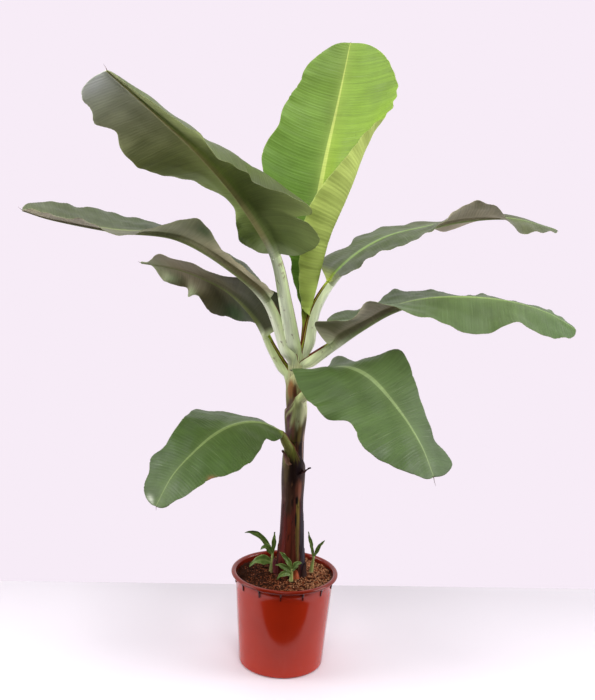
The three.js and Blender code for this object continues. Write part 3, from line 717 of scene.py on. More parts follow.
def blade_relief(half, hand, t, d, r, w, length, rng):
    """How far the blade's surface stands off its plain form: margin waves, swell, frill and pleats."""
    v = d / w
    height, count, start = half["waves"]
    wave = height * MM * np.sin(2 * np.pi * (count * t + start)) * np.sqrt(np.sin(np.pi * t))
    beyond = np.clip((d - r) / (0.2 * w), 0, 1)
    run = t * length
    swell = ripples(rng, *SWELL)(run, hand * d) * SWELL_HEIGHT * MM
    frill = ripples(rng, *FRILL)(run, 0 * d) * FRILL_HEIGHT * MM * v ** 5
    pleats = max(round(length / PLEAT), 1)
    heights = rng.uniform(*PLEAT_SPREAD, pleats + 2)
    phase = t * pleats
    pleat = np.abs(np.sin(np.pi * phase)) * heights[phase.astype(int)] * PLEAT_HEIGHT
    relief = beyond * (swell + pleat - PLEAT_HEIGHT / 2) + frill + wave * v ** 1.6
    return relief * smooth(t / RELIEF_START)


def blade_section(half, t, d, r, w, relief):
    """Across and height of the blade's lower and upper surface: it rises at the lift and bends by the
    curl, with a keel under the rib and a groove over it."""
    open_up = smooth(t / OPENING)
    lift = np.radians(keyed(half["lift"], t)) * open_up
    curl = np.radians(keyed(half.get("curl", [0]), t)) * open_up
    curl = np.where(np.abs(curl) < LEAST_CURL, LEAST_CURL, curl)
    inside = np.clip(d / r, 0, 1)
    angle = lift + curl * (d / w)
    tilt = angle * smooth(inside)
    out = w * (np.sin(angle) - np.sin(lift)) / curl
    rise = w * (np.cos(lift) - np.cos(angle)) / curl
    taper = np.sqrt(np.clip((w - d) / EDGE, 0, 1))
    depth = RIB_DEPTH * r * np.sqrt(np.clip(1 - inside ** 2, 0, 1))
    groove = r * (0.5 * (1 - smooth(t / 0.15)) - 0.06) * (1 - inside ** 2)
    low = relief - LAMINA / 2 * taper
    high = relief + LAMINA / 2 * taper
    lower = np.stack([out - low * np.sin(tilt), rise + low * np.cos(tilt) - depth], -1)
    upper = np.stack([out - high * np.sin(tilt), rise + high * np.cos(tilt) - groove], -1)
    return lower, upper


def petiole_section(d, r, w):
    """Across and height of the petiole's outer and inner surface: a thick gutter, whose wings stand up
    and lean in."""
    phi = np.radians(GUTTER_TURN) * KEEL
    gutter = np.stack([np.sin(phi), -0.75 - np.cos(phi)], -1)
    trough = np.stack([CHANNEL_SIZE * np.sin(phi), -0.6 - CHANNEL_SIZE * np.cos(phi)], -1)
    past = np.clip((d[:, KEEL_COLUMNS + 1:] - r) / (w - r), 0, 1)[..., None]
    size = r[..., None]
    brink = gutter[-1] * size + WING_LEAN * WING
    wing = gutter[-1] * size + past * WING_LEAN * WING
    wing_in = trough[-1] * size * (1 - past) + past * brink
    return np.concatenate([gutter * size, wing], 1), np.concatenate([trough * size, wing_in], 1)


def half_tints(leaf, half, share, t, d, r, w, hold):
    """Colours of the half's lower and upper surface, on the blade, the stalk and between them."""
    # the upper and under tones hold painted light and shade as well as the leaf's own colour
    upper_tone = toned(half.get("upper", leaf["upper"]), t)
    under_tone = toned(half.get("under", leaf["under"]), t)
    stalk_tone, rib_tone = linear(leaf["stalk_tone"]), linear(leaf["rib"])
    margin = 1 - smooth((w - d) / MARGIN_LINE)

    # the upper side takes the rib's tone near the rib, and the under side has the keel, which runs on
    # from the stalk
    near_rib = np.exp(-np.clip(d - r, 0, 1) / RIB_GLOW)
    on_rib = 1 - smooth((d / r - 0.75) / 0.3)
    high_tint = mixed(upper_tone, upper_tone * 0.85 + rib_tone * 0.15, near_rib)
    high_tint = mixed(high_tint, rib_tone, on_rib * (1 - 0.3 * t))
    high_tint = mixed(high_tint, MARGIN_PALE, margin * 0.5)
    keel_tone = linear(leaf.get("keel", leaf["rib"])) * 0.8 + under_tone * 0.2
    keel_tone = mixed(stalk_tone, keel_tone, smooth((t + 0.02) / 0.15))
    on_keel = 1 - smooth((d / r - 0.6) / 0.3)
    low_tint = mixed(mixed(under_tone, keel_tone, on_keel), MARGIN_PALE, margin * 0.7)
    # marks paint dry spots into both faces, and also painted sheen
    for place, across, reach, wide, tone in half.get("marks_and_sheen", []):
        amount = np.exp(-((t - place) / reach) ** 2 - ((d / w - across) / wide) ** 2)
        low_tint, high_tint = (mixed(tint, linear(tone), amount) for tint in (low_tint, high_tint))

    # the stalk is darker at its sides, and its wings are dry; hold keeps them green on the stem
    on_blade = smooth((share - leaf["stalk"]) / 0.05)[:, None]
    on_stalk = 1 - smooth((share - leaf["stalk"] + 0.03) / 0.03)[:, None]
    dry = smooth(((d - r) / WING - 0.1 - 0.7 * hold) / 0.25) * on_stalk
    side = smooth((np.clip(d / r, 0, 1) - 0.4) / 0.5) * 0.7
    pipe_tint = mixed(mixed(stalk_tone, stalk_tone * STALK_SIDE, side), MARGIN_DRY, dry)
    duct_tint = mixed(CHANNEL, MARGIN_DRY, dry)
    return mixed(pipe_tint, low_tint, on_blade), mixed(duct_tint, high_tint, on_blade)


def half_leaf(leaf, hand, share, length, hold, rng):
    """One half of a leaf in its rib's frame, for rows at the shares: across and height of its lower and
    upper surface, forward of both, the distance from the rib and the colours. hold is 1 where the leaf
    is wrapped round the stem."""
    half = leaf["left" if hand > 0 else "right"]
    t, radius, width = half_outline(leaf, half, share, length, rng)
    d = half_columns(radius, width)
    t, r, w = t[:, None], radius[:, None], width[:, None]
    relief = blade_relief(half, hand, t, d, r, w, length * (1 - leaf["stalk"]), rng)
    lower, upper = blade_section(half, t, d, r, w, relief)
    pipe, duct = petiole_section(d, r, w)
    opened = smooth((share - leaf["stalk"] + JOIN_START) / JOIN_LENGTH)[:, None, None]
    forward = keyed(leaf["sweep"], t) * w * (d / w) * (d / w) * opened[..., 0]
    low_tint, high_tint = half_tints(leaf, half, share, t, d, r, w, hold)
    return {"lower": pipe + (lower - pipe) * opened, "upper": duct + (upper - duct) * opened,
            "forward": forward, "d": d, "low_tint": low_tint, "high_tint": high_tint}


def wrapped(leaf, hand, z, drop):
    """One half of the leaf's sheath round the stem, for rows at heights z: places of its outer and
    inner surface in the world, and the distance round the stem from its middle."""
    skirt = leaf["skirt"] * MM
    fall = np.clip(drop / skirt, 0, 1)
    lowest = smooth((fall - 0.4) / 0.6)
    layer = (leaf["layer"] - OUTER_LAYER) * LAYER_STEP
    outer = stem_radius(z) + SKIRT_THICKNESS + layer - lowest * SKIRT_SINK
    keel_turn = KEEL_TURN + KEEL_TURN_LOW * fall
    margin_turn = MARGIN_TURN + MARGIN_TURN_LOW * smooth(fall / 0.55)
    margin_turn = margin_turn - MARGIN_TURN_HIGH * smooth(-drop / EMERGE)
    steps = np.arange(1, LAMINA_COLUMNS + 1) / LAMINA_COLUMNS
    turn = np.concatenate([keel_turn[:, None] * KEEL,
                           keel_turn[:, None] + (margin_turn - keel_turn)[:, None] * steps], 1)
    angle = np.radians(leaf["heading"] + hand * turn)
    thickness = SKIRT_THICKNESS * np.sqrt(np.clip(1 - np.concatenate([KEEL * 0, steps]), 0, 1))
    outer = outer[:, None]
    centre, level = stem_centre(z)[:, None], z[:, None]
    around = np.radians(turn) * outer
    return rings(centre, 0, level, outer, angle), rings(centre, 0, level, outer - thickness, angle), around


def leaf_rings(leaf, share, drop, rng):
    """Rings of vertices round the leaf at shares of its rib; drop is how far below the foot a ring
    of the sheath is. Returns places, colours and pattern runs."""
    length, frame_at = rib_of(leaf)
    point, tangent, up, side = frame_at(share)
    base = point.copy()
    base[:, 2] -= drop
    signed = np.where(drop > 0, -drop, share * length)
    hold = (1 - smooth((signed + SINK) / (EMERGE + SINK)))[:, None, None]
    sides = {}
    for hand in (1, -1):
        half = half_leaf(leaf, hand, share, length, hold[..., 0], rng)
        outer, inner, around = wrapped(leaf, hand, base[:, 2], -signed)
        half["round"] = hand * (half["d"] + (around - half["d"]) * hold[..., 0])
        for key, wrap in (("lower", outer), ("upper", inner)):
            flat = half[key]
            place = (base[:, None] + side[:, None] * (hand * flat[..., :1]) + up[:, None] * flat[..., 1:]
                     + tangent[:, None] * half["forward"][..., None])
            half[key] = place + (wrap - place) * hold
        sides[hand] = half
    left, right = sides[1], sides[-1]

    def ring(key, back):
        return np.concatenate([right[key][:, ::-1], left[key][:, 1:], left[back][:, COLUMNS - 1::-1],
                               right[back][:, 1:COLUMNS]], 1)

    run = np.broadcast_to((share * length - drop)[:, None], left["d"].shape)
    for half in (left, right):
        half["run"] = np.stack([run, half["round"]], -1)
    return ring("lower", "upper"), ring("low_tint", "high_tint"), ring("run", "run")


def capped(rows, count):
    """Faces of a closed body of rings, whose end rings are closed from the lower to the upper row."""
    faces = ring_faces(rows, count).tolist()
    for start, flip in ((0, False), ((rows - 1) * count, True)):
        low = np.arange(0, 2 * COLUMNS + 1)
        high = np.concatenate([[0], np.arange(count - 1, 2 * COLUMNS, -1), [2 * COLUMNS]])
        ends = [(low[k], high[k], high[k + 1], low[k + 1]) for k in range(1, 2 * COLUMNS - 1)]
        ends += [(low[0], high[1], low[1]), (low[-2], high[-2], low[-1])]
        faces += [tuple(start + v for v in (face[::-1] if flip else face)) for face in ends]
    return faces


def leaf_pieces(leaf, number, skins):
    rng = np.random.default_rng(LEAF_SEED + number)
    length, _ = rib_of(leaf)
    stalk = leaf["stalk"]
    rows = ROWS_PER_PLEAT * round(length * (1 - stalk) / PLEAT)
    share = stalk + (BLADE_END - stalk) * np.linspace(0, 1, rows + 1)
    places, tints, runs = leaf_rings(leaf, share, 0 * share, rng)
    count = places.shape[1]
    faces = capped(rows + 1, count)
    turned = np.arange(rows * count) % count >= 2 * COLUMNS
    upper = np.concatenate([turned, np.zeros(len(faces) - len(turned), bool)])
    blade = mesh_piece(f"leaf_{leaf['name']}", places, faces, tints, runs, np.where(upper, 0, 1))
    dressed(blade, "blade", [skins["upper"], skins["under"]], f"blade_{leaf['name']}")

    # the same draws again, so that the stalk meets the blade
    rng = np.random.default_rng(LEAF_SEED + number)
    drop = np.linspace(leaf["skirt"] * MM, 0, SKIRT_ROWS, endpoint=False)
    share = np.concatenate([0 * drop, stalk * np.linspace(0, 1, PETIOLE_ROWS)])
    drop = np.concatenate([drop, np.zeros(PETIOLE_ROWS)])
    places, tints, runs = leaf_rings(leaf, share, drop, rng)
    streak = ripples(rng, 6, 0.4, 1.2)(np.arange(count)[None, :] * 0.12, drop[:, None] * 8)
    across = np.clip(np.abs(np.arange(count) - COLUMNS) / COLUMNS, 0, 1)
    low = smooth(drop[:, None] / (leaf.get("fade", SKIRT_FADE) * leaf["skirt"] * MM) - 0.1
                 + 0.3 * streak * (drop[:, None] > 0) + across ** 2 * smooth(drop[:, None] / EMERGE))
    tints = tints + (stem_tint(places) - tints) * low[..., None]
    petiole = mesh_piece(f"stalk_{leaf['name']}", places, capped(len(share), count), tints, runs)
    dressed(petiole, "petiole", [skins["stalk"]], f"petiole_{leaf['name']}")


# ---- pseudostem ----
# sRGB colours of the stem at even heights from the compost to the crown.
STEM_RAMP = [0x3A1410, 0x521C16, 0x50201A, 0x3C2018, 0x2C1A14, 0x3A2C1A, 0x6A6234, 0xB0B080, 0xC4CC9C]
# Patches: angle (degrees, -90 is the front), height, half-width in degrees, half-height and colour. Most
# are the stem's own colours; the dark bluish one at -22 is painted shade.
STEM_PATCHES_AND_SHADE = [
    (-130, 330, 40, 120, 0x5E1E18), (-150, 430, 26, 90, 0x4A1C1A), (-104, 370, 12, 130, 0x64281A),
    (-84, 350, 10, 110, 0x4E2418), (-58, 400, 15, 110, 0x5E4C22), (-60, 470, 10, 60, 0x6E5C28),
    # painted shade with a bluish painted highlight: the broad dark patch at -22 on the stem's right side
    (-22, 380, 30, 150, 0x2E2834), (-62, 530, 18, 34, 0x5E3424), (-50, 522, 11, 32, 0x7E4A38),
    (-66, 496, 9, 14, 0x120C0A), (-70, 440, 6, 26, 0x16100C), (-110, 500, 30, 60, 0x3A2418),
    (-92, 590, 40, 60, 0x20120E), (-60, 620, 26, 60, 0x24161A), (-130, 600, 22, 70, 0x4A3A20),
    (-105, 655, 24, 46, 0x5C5226), (-140, 660, 18, 40, 0x4A2A2A), (-70, 640, 16, 40, 0x4A2C1E),
    (-78, 735, 18, 40, 0xB8BE8E), (-62, 690, 16, 40, 0x6A5C2C), (-22, 650, 14, 50, 0x9A7E74),
    (-122, 725, 20, 50, 0x6A4850), (-100, 700, 12, 40, 0x7A5244), (-118, 770, 22, 22, 0x6E5A48),
    (-125, 812, 25, 30, 0x8A6038), (-100, 805, 12, 26, 0x5A3420), (-135, 745, 22, 30, 0x4A2A2C),
]
DRY_SHEATHS = [  # heading, height of the top, fall of its edge per radian, and thickness
    (-35, 600, 75, 1.4), (-150, 625, 60, 1.2), (70, 540, 90, 1.3),
    (-95, 470, 260, 0.8), (150, 400, 120, 1.2), (10, 345, 90, 1.6),
]
STEM_COUNT = 150
STEM_ROWS = 460
# How far the stem goes below the compost, and how far below the crown it ends.
STEM_SINK = 8
STEM_CUT = 20
# Where the stem draws in under the sheaths of the leaves: height, length and depth.
NECK_START = 640
NECK_LENGTH = 200
NECK_IN = 8
# Broad flutes and fine streaks: count, shortest and longest of their waves, and their depth.
FLUTES = (6, 0.9, 2.2)
FLUTE_HEIGHT = 0.5
STREAKS = (8, 0.15, 0.5)
STREAK_HEIGHT = 0.22
SHEATH_EDGE = linear(0x2A1410)
# The ragged foot: its height and depth.
RAGGED_RISE = 30
RAGGED_DEPTH = 3
STEM_PATTERN_RADIUS = 0.034


def stem_tint(places):
    """Colour of the stem's skin at places on it, with painted shade on its right side."""
    z = places[..., 2]
    angle = np.degrees(np.arctan2(places[..., 1], places[..., 0] - stem_centre(z)))
    tint = toned(STEM_RAMP, stem_share(z))
    for turn, height, wide, tall, tone in STEM_PATCHES_AND_SHADE:
        off = (angle - turn + 180) % 360 - 180
        reach = np.sqrt((off / wide) ** 2 + ((z / MM - height) / tall) ** 2)
        tint = mixed(tint, linear(tone), 1 - smooth((reach - 0.55) / 0.6))
    return np.clip(tint, 0, 1)


def stem_piece(skins):
    rng = np.random.default_rng(STEM_SEED)
    z = np.linspace(STEM_FOOT_Z - STEM_SINK, STEM_TOP_Z - STEM_CUT, STEM_ROWS)[:, None] * MM
    turn = round_turn(STEM_COUNT)
    radius = stem_radius(z) + 0 * turn
    radius = radius - smooth((z / MM - NECK_START) / NECK_LENGTH) * NECK_IN * MM
    flute = ripples(rng, *FLUTES)
    radius = radius + FLUTE_HEIGHT * MM * flute(np.cos(turn) * 3, np.sin(turn) * 3 + z * 1.5)
    streak = ripples(rng, *STREAKS)
    radius = radius + STREAK_HEIGHT * MM * streak(turn, z * 1.2) * np.sin(turn / 2) ** 2
    tint = stem_tint(rings(stem_centre(z), 0, z, radius, turn))
    for heading, top, fall, thickness in DRY_SHEATHS:
        off = np.abs((turn - math.radians(heading) + np.pi) % (2 * np.pi) - np.pi)
        ragged = ripples(rng, 5, 0.2, 0.7)(turn, 0 * z) * 3
        below = top - fall * off ** 1.2 + ragged - z / MM
        radius = radius + (thickness * smooth(below / 4) - 0.5 * thickness) * MM
        tint = mixed(tint, SHEATH_EDGE, np.exp(-((below - 1) / 3.5) ** 2) * 0.75)
    low = np.clip(1 - (z / MM - STEM_FOOT_Z) / RAGGED_RISE, 0, 1)
    radius = radius + low ** 2 * RAGGED_DEPTH * MM * ripples(rng, 6, 0.5, 1.4)(turn, z * 20)
    places = rings(stem_centre(z), 0, z, radius, turn)
    runs = np.stack([z + 0 * turn, STEM_PATTERN_RADIUS * np.minimum(turn, 2 * np.pi - turn) + 0 * z], -1)
    piece = mesh_piece("stem", places, tube_faces(STEM_ROWS, STEM_COUNT), tint, runs)
    dressed(piece, "stem", [skins["stem"]], "pseudostem")


# ---- dry sheath ends, buds and the flaps at the stem's foot ----
STUBS = [  # node, root, tip, width, tones of the root and the tip
    ("dry_sheath_right", (30, -22, 566), (58, -34, 594), 20, 0x24130F, 0x2A1612),
    ("dry_sheath_left", (-8, -24, 596), (-22, -34, 640), 26, 0x7A5A44, 0x4E3024),
]
STUB_ROWS = 26
STUB_THICKNESS = 1.8 * MM
STUB_SWAY = 2.5
FLAPS = [  # angle round the stem, foot's distance out, height, width and tone
    (-72, 8, 34, 30, 0x9A4A2C), (-150, 6, 40, 34, 0x5E2C22), (-20, 7, 46, 36, 0x3A2420),
    (40, 6, 38, 34, 0x6E3A28), (110, 7, 44, 38, 0x543026), (170, 6, 36, 34, 0x7A4430),
]
FLAP_ROWS = 20
FLAP_THICKNESS = 1.6 * MM
# How far a flap's tip stands off the stem and how deep its foot is in the compost.
FLAP_CLEAR = 1.5
FLAP_SINK = 2
CRUMPLE = 1.4
CRUMPLE_COLUMNS = 12
BUD_PLACE = (-25, -27, 300)
BUD_LEAN = (-5, -3)
BUD_HEIGHT = 44
BUD_RADIUS = 8
BUD_GRID = (24, 20)
BUD_FOOT = linear(0x7A3A3E)
BUD_TIP = linear(0x4A2026)


def crumpled(path, side, up, width, thickness, rng):
    """A dry sheet along a path: vertices and faces. width is given for each row, in metres."""
    x = np.linspace(-1, 1, CRUMPLE_COLUMNS)[None, :]
    t = stages(len(path))
    fold = ripples(rng, 6, 0.5, 1.6)(x * 1.6, t * 2) * CRUMPLE * MM * (0.4 + t)
    lift = 0.22 * np.abs(x) ** 2 * width[:, None] + fold
    edge = np.sqrt(np.clip(1 - x ** 2, 0, 1)) * 0.8 + 0.2
    middle = path[:, None] + side * (x * width[:, None] / 2)[..., None]
    upper = middle + up * (lift + thickness / 2 * edge)[..., None]
    lower = middle + up * (lift - thickness / 2 * edge)[..., None]
    return closed_sheet(upper, lower)


def stub_piece(number, spec, skins):
    name, root, tip, width, root_tone, tip_tone = spec
    rng = np.random.default_rng(STUB_SEED + number)
    root, tip = np.array(root) * MM, np.array(tip) * MM
    tangent = (tip - root) / np.linalg.norm(tip - root)
    side = np.array([-tangent[1], tangent[0], 0])
    side /= np.linalg.norm(side)
    up = np.cross(tangent, side)
    t = np.linspace(0, 1, STUB_ROWS)
    path = root + np.outer(t, tip - root) + np.outer(np.sin(3 * t) * STUB_SWAY * MM * t, up)
    spread = width * MM * (1 - 0.75 * t ** 1.6) * (1 + 0.12 * np.sin(19 * t))
    vertices, faces = crumpled(path, side, up, spread, STUB_THICKNESS, rng)
    share = np.clip((vertices - root) @ tangent / np.linalg.norm(tip - root), 0, 1)
    tints = mixed(linear(root_tone), linear(tip_tone), share)
    runs = np.stack([share * 0.05, (vertices - root) @ side], -1)
    dressed(mesh_piece(name + "_end", vertices, faces, tints, runs), "sheath", [skins["stem"]], name)


def foot_pieces(skins):
    """Dry flaps of old sheaths and a bud at the foot of the stem."""
    parts, tints = [], []
    rng = np.random.default_rng(FOOT_SEED)
    for angle, out, height, width, tone in FLAPS:
        outward, side = spread_out(angle)
        t = np.linspace(0, 1, FLAP_ROWS)
        radius = STEM_RADII[0] + FLAP_CLEAR + out * (1 - t) ** 2
        path = np.outer(radius * MM, outward) + [STEM_AXIS[0] * MM, 0, 0]
        path[:, 2] = (SOIL_TOP - FLAP_SINK + height * t) * MM
        spread = width * MM * np.sqrt(np.clip(1 - t ** 1.5, 0.01, 1))
        parts.append(crumpled(path, side, -outward, spread, FLAP_THICKNESS, rng))
        tints.append(np.broadcast_to(linear(tone), parts[-1][0].shape))
    vertices, faces = gathered(parts)
    runs = np.stack([vertices[:, 2], vertices[:, 0] + vertices[:, 1]], -1)
    flaps = mesh_piece("foot_flaps", vertices, faces, np.concatenate(tints), runs)
    dressed(flaps, "sheath", [skins["stem"]])

    rows, count = BUD_GRID
    t = stages(rows)
    turn = round_turn(count)
    ridges = 1 + 0.05 * np.cos(3 * turn)
    radius = BUD_RADIUS * np.sqrt(np.clip(1 - t ** 2.2, 0.004, 1)) * (0.8 + 0.5 * t) * ridges
    x, y, z = BUD_PLACE
    dx, dy = BUD_LEAN
    places = rings(x + dx * t, y + dy * t, z - BUD_HEIGHT / 2 + BUD_HEIGHT * t, radius, turn) * MM
    tints = mixed(BUD_FOOT, BUD_TIP, np.broadcast_to(t, places.shape[:2]))
    bud = mesh_piece("bud", places, tube_faces(rows, count), tints, places[..., [2, 0]])
    dressed(bud, "sheath", [skins["stem"]])


# ---- dried threads at the leaves' tips ----
THREADS = {  # length, sideways and upward bend of each leaf's thread, in millimetres
    "top_left": (16, 4, 8), "left_high": (16, -3, 5), "right_high": (14, 3, -3), "right_low": (10, 0, -5),
    "top": (6, 3, 0), "left_low": (14, 2, 4), "front_right": (26, -4, -6), "front_left": (12, 2, -8),
}
# A thread's rows and sides, how far back from the blade's end it starts as a share of the rib, and its
# radius: at its tip, and how much more it is at its root.
THREAD_GRID = (16, 7)
THREAD_SINK = 0.004
THREAD_TIP = 0.35
THREAD_ROOT = 1.2


def thread_piece(skins):
    """One mesh of the threads of all the leaves."""
    parts = []
    rows, count = THREAD_GRID
    turn = round_turn(count)[..., None]
    for leaf in LEAVES:
        reach, sideways, bend = (x * MM for x in THREADS[leaf["name"]])
        _, frame_at = rib_of(leaf)
        point, tangent, up, side = (x[0] for x in frame_at(np.array([BLADE_END - THREAD_SINK])))
        t = stages(rows)
        path = point + tangent * reach * t + side * sideways * np.sin(4 * t) * t + up * bend * t ** 2
        radius = (THREAD_ROOT * (1 - t) ** 1.4 + THREAD_TIP)[:, :, None] * MM
        places = path[:, None] + radius * (np.cos(turn) * side + 0.6 * np.sin(turn) * up)
        parts.append((places.reshape(-1, 3), ring_faces(rows, count)))
    vertices, faces = gathered(parts)
    listed = faces.tolist()
    for k in range(len(LEAVES)):
        listed += end_faces(rows, count, k * rows * count)
    dressed(mesh_piece("leaf_threads", vertices, listed), "sheath", [skins["dry"]])


# ---- suckers ----
SUCKERS = [  # a blade: where it leaves the stem, its tip, the rise of its arch and its half-width
    {"name": "sucker_left", "foot": (-38, 4), "stem": (-36, 4, 324),
     "blades": [(0.9, (-117, 4, 380), 26, 9), (0.5, (-100, -8, 283), 16, 15),
                (0.9, (-70, -10, 338), 14, 11), (0.9, (-32, 10, 385), 4, 7)]},
    {"name": "sucker_front", "foot": (19, -58), "stem": (20, -56, 305),
     "blades": [(0.9, (-16, -60, 354), 10, 8), (0.8, (47, -62, 326), 8, 9), (0.7, (-27, -64, 316), 8, 8),
                (0.5, (-20, -80, 280), 14, 9)]},
    {"name": "sucker_right", "foot": (74, 11), "stem": (80, 11, 318),
     "blades": [(0.9, (61, 8, 392), 4, 6), (0.9, (109, 11, 366), 6, 6)]},
]
# How far the small blades turn their faces to the front: 0 is level, 1 is straight at the front.
SUCKER_FACING = 0.6
# Their twist in radians, and how far their halves crumple and their midrib stands out below.
SUCKER_TWIST = 0.7
SUCKER_CRUMPLE = 1.8
SUCKER_SPINE = 1.1
SUCKER_RADIUS = 6 * MM
SUCKER_BLADE_GRID = (30, 11)
SUCKER_STEM_GRID = (14, 14)
SUCKER_UPPER = linear(0x5A7434)
SUCKER_EDGE = linear(0x9AA860)
SUCKER_STEM = linear(0x9AA862)
SUCKER_FOOT = linear(0xB0A070)


def sucker_blade(foot, top, spec, rng):
    """One small blade with a creased midline: vertices, faces and colours."""
    share, end, arch, width = spec
    start, end = foot + (top - foot) * share, np.array(end) * MM
    middle = (start + end) / 2 + np.array([0, 0, arch * MM])
    rows, columns = SUCKER_BLADE_GRID
    t = stages(rows)
    path = start * (1 - t) * (1 - 2 * t) + middle * 4 * t * (1 - t) + end * t * (2 * t - 1)
    tangent = np.gradient(path, axis=0)
    tangent /= np.linalg.norm(tangent, axis=1)[:, None]
    level = np.stack([-tangent[:, 1], tangent[:, 0], 0 * tangent[:, 0]], -1)
    facing = np.stack([-tangent[:, 2], 0 * tangent[:, 0], tangent[:, 0]], -1)
    side = level * (1 - SUCKER_FACING) + facing * SUCKER_FACING
    side /= np.linalg.norm(side, axis=1)[:, None]
    up = np.cross(tangent, side)
    twist = SUCKER_TWIST * np.sin(2 * np.pi * t * rng.uniform(0.6, 1.1) + rng.uniform(0, 6)) * t
    side, up = side * np.cos(twist) + up * np.sin(twist), up * np.cos(twist) - side * np.sin(twist)
    half = 0.85 * width * MM * np.maximum(np.sin(np.pi * t ** 0.8) ** 0.9, 0.1 * (1 - t))
    half = half * (1 + 0.12 * np.sin(11 * t + rng.uniform(0, 6))) + 0.4 * MM
    x = np.linspace(-1, 1, columns)[None, :]
    crumple = ripples(rng, 4, 0.3, 0.8)(t * 2, x) * SUCKER_CRUMPLE * MM
    fold = 0.45 * np.abs(x) ** 1.2 * half + crumple * np.abs(x)
    edge = 0.5 * MM * np.sqrt(np.clip(1.05 - x ** 2, 0, 1))
    spine = SUCKER_SPINE * MM * (1 - np.abs(x)) ** 6 * (1 - 0.7 * t)
    centre = path[:, None] + side[:, None] * (x * half)[..., None]
    upper = centre + up[:, None] * (fold + edge)[..., None]
    lower = centre + up[:, None] * (fold - edge - spine)[..., None]
    vertices, faces = closed_sheet(upper, lower)
    green = np.broadcast_to(smooth(t * 3 + np.abs(x) * 0.9), (rows, columns))
    pale = np.clip(np.abs(x) ** 8 * 0.6 + (1 - np.abs(x)) ** 8 * 0.5, 0, 1) + 0 * t
    tint = mixed(mixed(SUCKER_STEM, SUCKER_UPPER, green), SUCKER_EDGE, pale)
    tint = tint * (0.8 + 0.4 * rng.random())
    runs = np.stack([np.broadcast_to(t * 0.08, (rows, columns)), x * half], -1)
    both = np.concatenate([tint.reshape(-1, 3), tint.reshape(-1, 3) * 1.1])
    return vertices, faces, both, np.concatenate([runs.reshape(-1, 2)] * 2)


def sucker_piece(number, plant, skins):
    rng = np.random.default_rng(SUCKER_SEED + number)
    foot = np.array([*plant["foot"], SOIL_TOP - 1]) * MM
    top = np.array(plant["stem"]) * MM
    rows, count = SUCKER_STEM_GRID
    t = stages(rows)
    turn = round_turn(count)
    radius = SUCKER_RADIUS * (1 - 0.45 * t) * (1 + 0.08 * np.cos(2 * turn + 3 * t))
    stem = foot + (top - foot) * t[..., None]
    stem = stem + np.stack([radius * np.cos(turn), radius * np.sin(turn), 0 * radius], -1)
    parts = [(stem.reshape(-1, 3), ring_faces(rows, count))]
    tints = [np.repeat(mixed(SUCKER_FOOT, SUCKER_STEM, smooth(t[:, 0] * 3)), count, 0)]
    runs = [np.stack([np.broadcast_to(t * 0.05, radius.shape), 0.006 * turn + 0 * t], -1).reshape(-1, 2)]
    for spec in plant["blades"]:
        vertices, faces, tint, run = sucker_blade(foot, top, spec, rng)
        parts.append((vertices, faces))
        tints.append(tint)
        runs.append(run)
    vertices, faces = gathered(parts)
    listed = faces.tolist() + end_faces(rows, count)
    piece = mesh_piece("young_" + plant["name"], vertices, listed, np.concatenate(tints),
                       np.concatenate(runs))
    dressed(piece, "sucker", [skins["sucker"]], plant["name"])


# ---- compost ----
SOIL_RINGS = 70
SOIL_COUNT = 200
# How deep the bed goes, how far in from the pot's outer wall it ends, and how far it rises to the right.
SOIL_DEPTH = 60
SOIL_INSET = 3.3
SOIL_TILT = 1.5
# Its lumps and grains: count, shortest and longest of their waves in metres, and heights in millimetres.
LUMPS = (9, 0.02, 0.07)
LUMP_HEIGHT = 1.6
GRAINS = (12, 0.006, 0.016)
GRAIN_HEIGHT = 0.9
CHIPS = 5200
FIBRES = 420
# Ranges of length, width and thickness in millimetres, and the clear spaces at the wall and the stem.
CHIP_SIZES = ((1.8, 6.5), (1, 3.2), (0.6, 2.2))
FIBRE_SIZES = ((8, 20), (0.5, 0.9), (0.5, 0.8))
WALL_SPACE = 5
STEM_SPACE = 36
# How high a chip may lie on the bed, how uneven its corners are, how far it tips in radians, and how
# much lighter the chips get to the right, from the middle's own lightness.
CHIP_RISE = 0.9
CHIP_SHAKE = 0.35
CHIP_TIP = 0.35
CHIP_LIGHT = 0.46
CHIP_LIGHT_BASE = 0.03
CHIP_KINDS = [  # name, lightness from and to, tone, and the darkest and lightest share of it
    ("chips_dark", -1, 0.58, 0x36190B, 0.6, 1.3), ("chips_brown", 0.58, 0.89, 0x8E4E30, 0.7, 1.3),
    ("chips_light", 0.89, 2, 0xBC8660, 0.8, 1.25),
]


def wall_radius(z):
    return POT_FOOT_RADIUS + (POT_RIM_RADIUS - LIP_OUT - POT_FOOT_RADIUS) * z / POT_HEIGHT


SOIL_RADIUS = (wall_radius(SOIL_TOP) - SOIL_INSET) * MM


def soil_height(x, y):
    """Height of the compost: a low mound with lumps."""
    away = np.clip(np.hypot(x, y) / SOIL_RADIUS, 0, 1)
    rng = np.random.default_rng(SOIL_SEED)
    lumps = ripples(rng, *LUMPS)(x, y) * LUMP_HEIGHT + ripples(rng, *GRAINS)(x, y) * GRAIN_HEIGHT
    hump = SOIL_HUMP * smooth((1 - away) * 2) + SOIL_TILT * (x / SOIL_RADIUS)
    return (SOIL_TOP - SOIL_TILT + hump + lumps) * MM


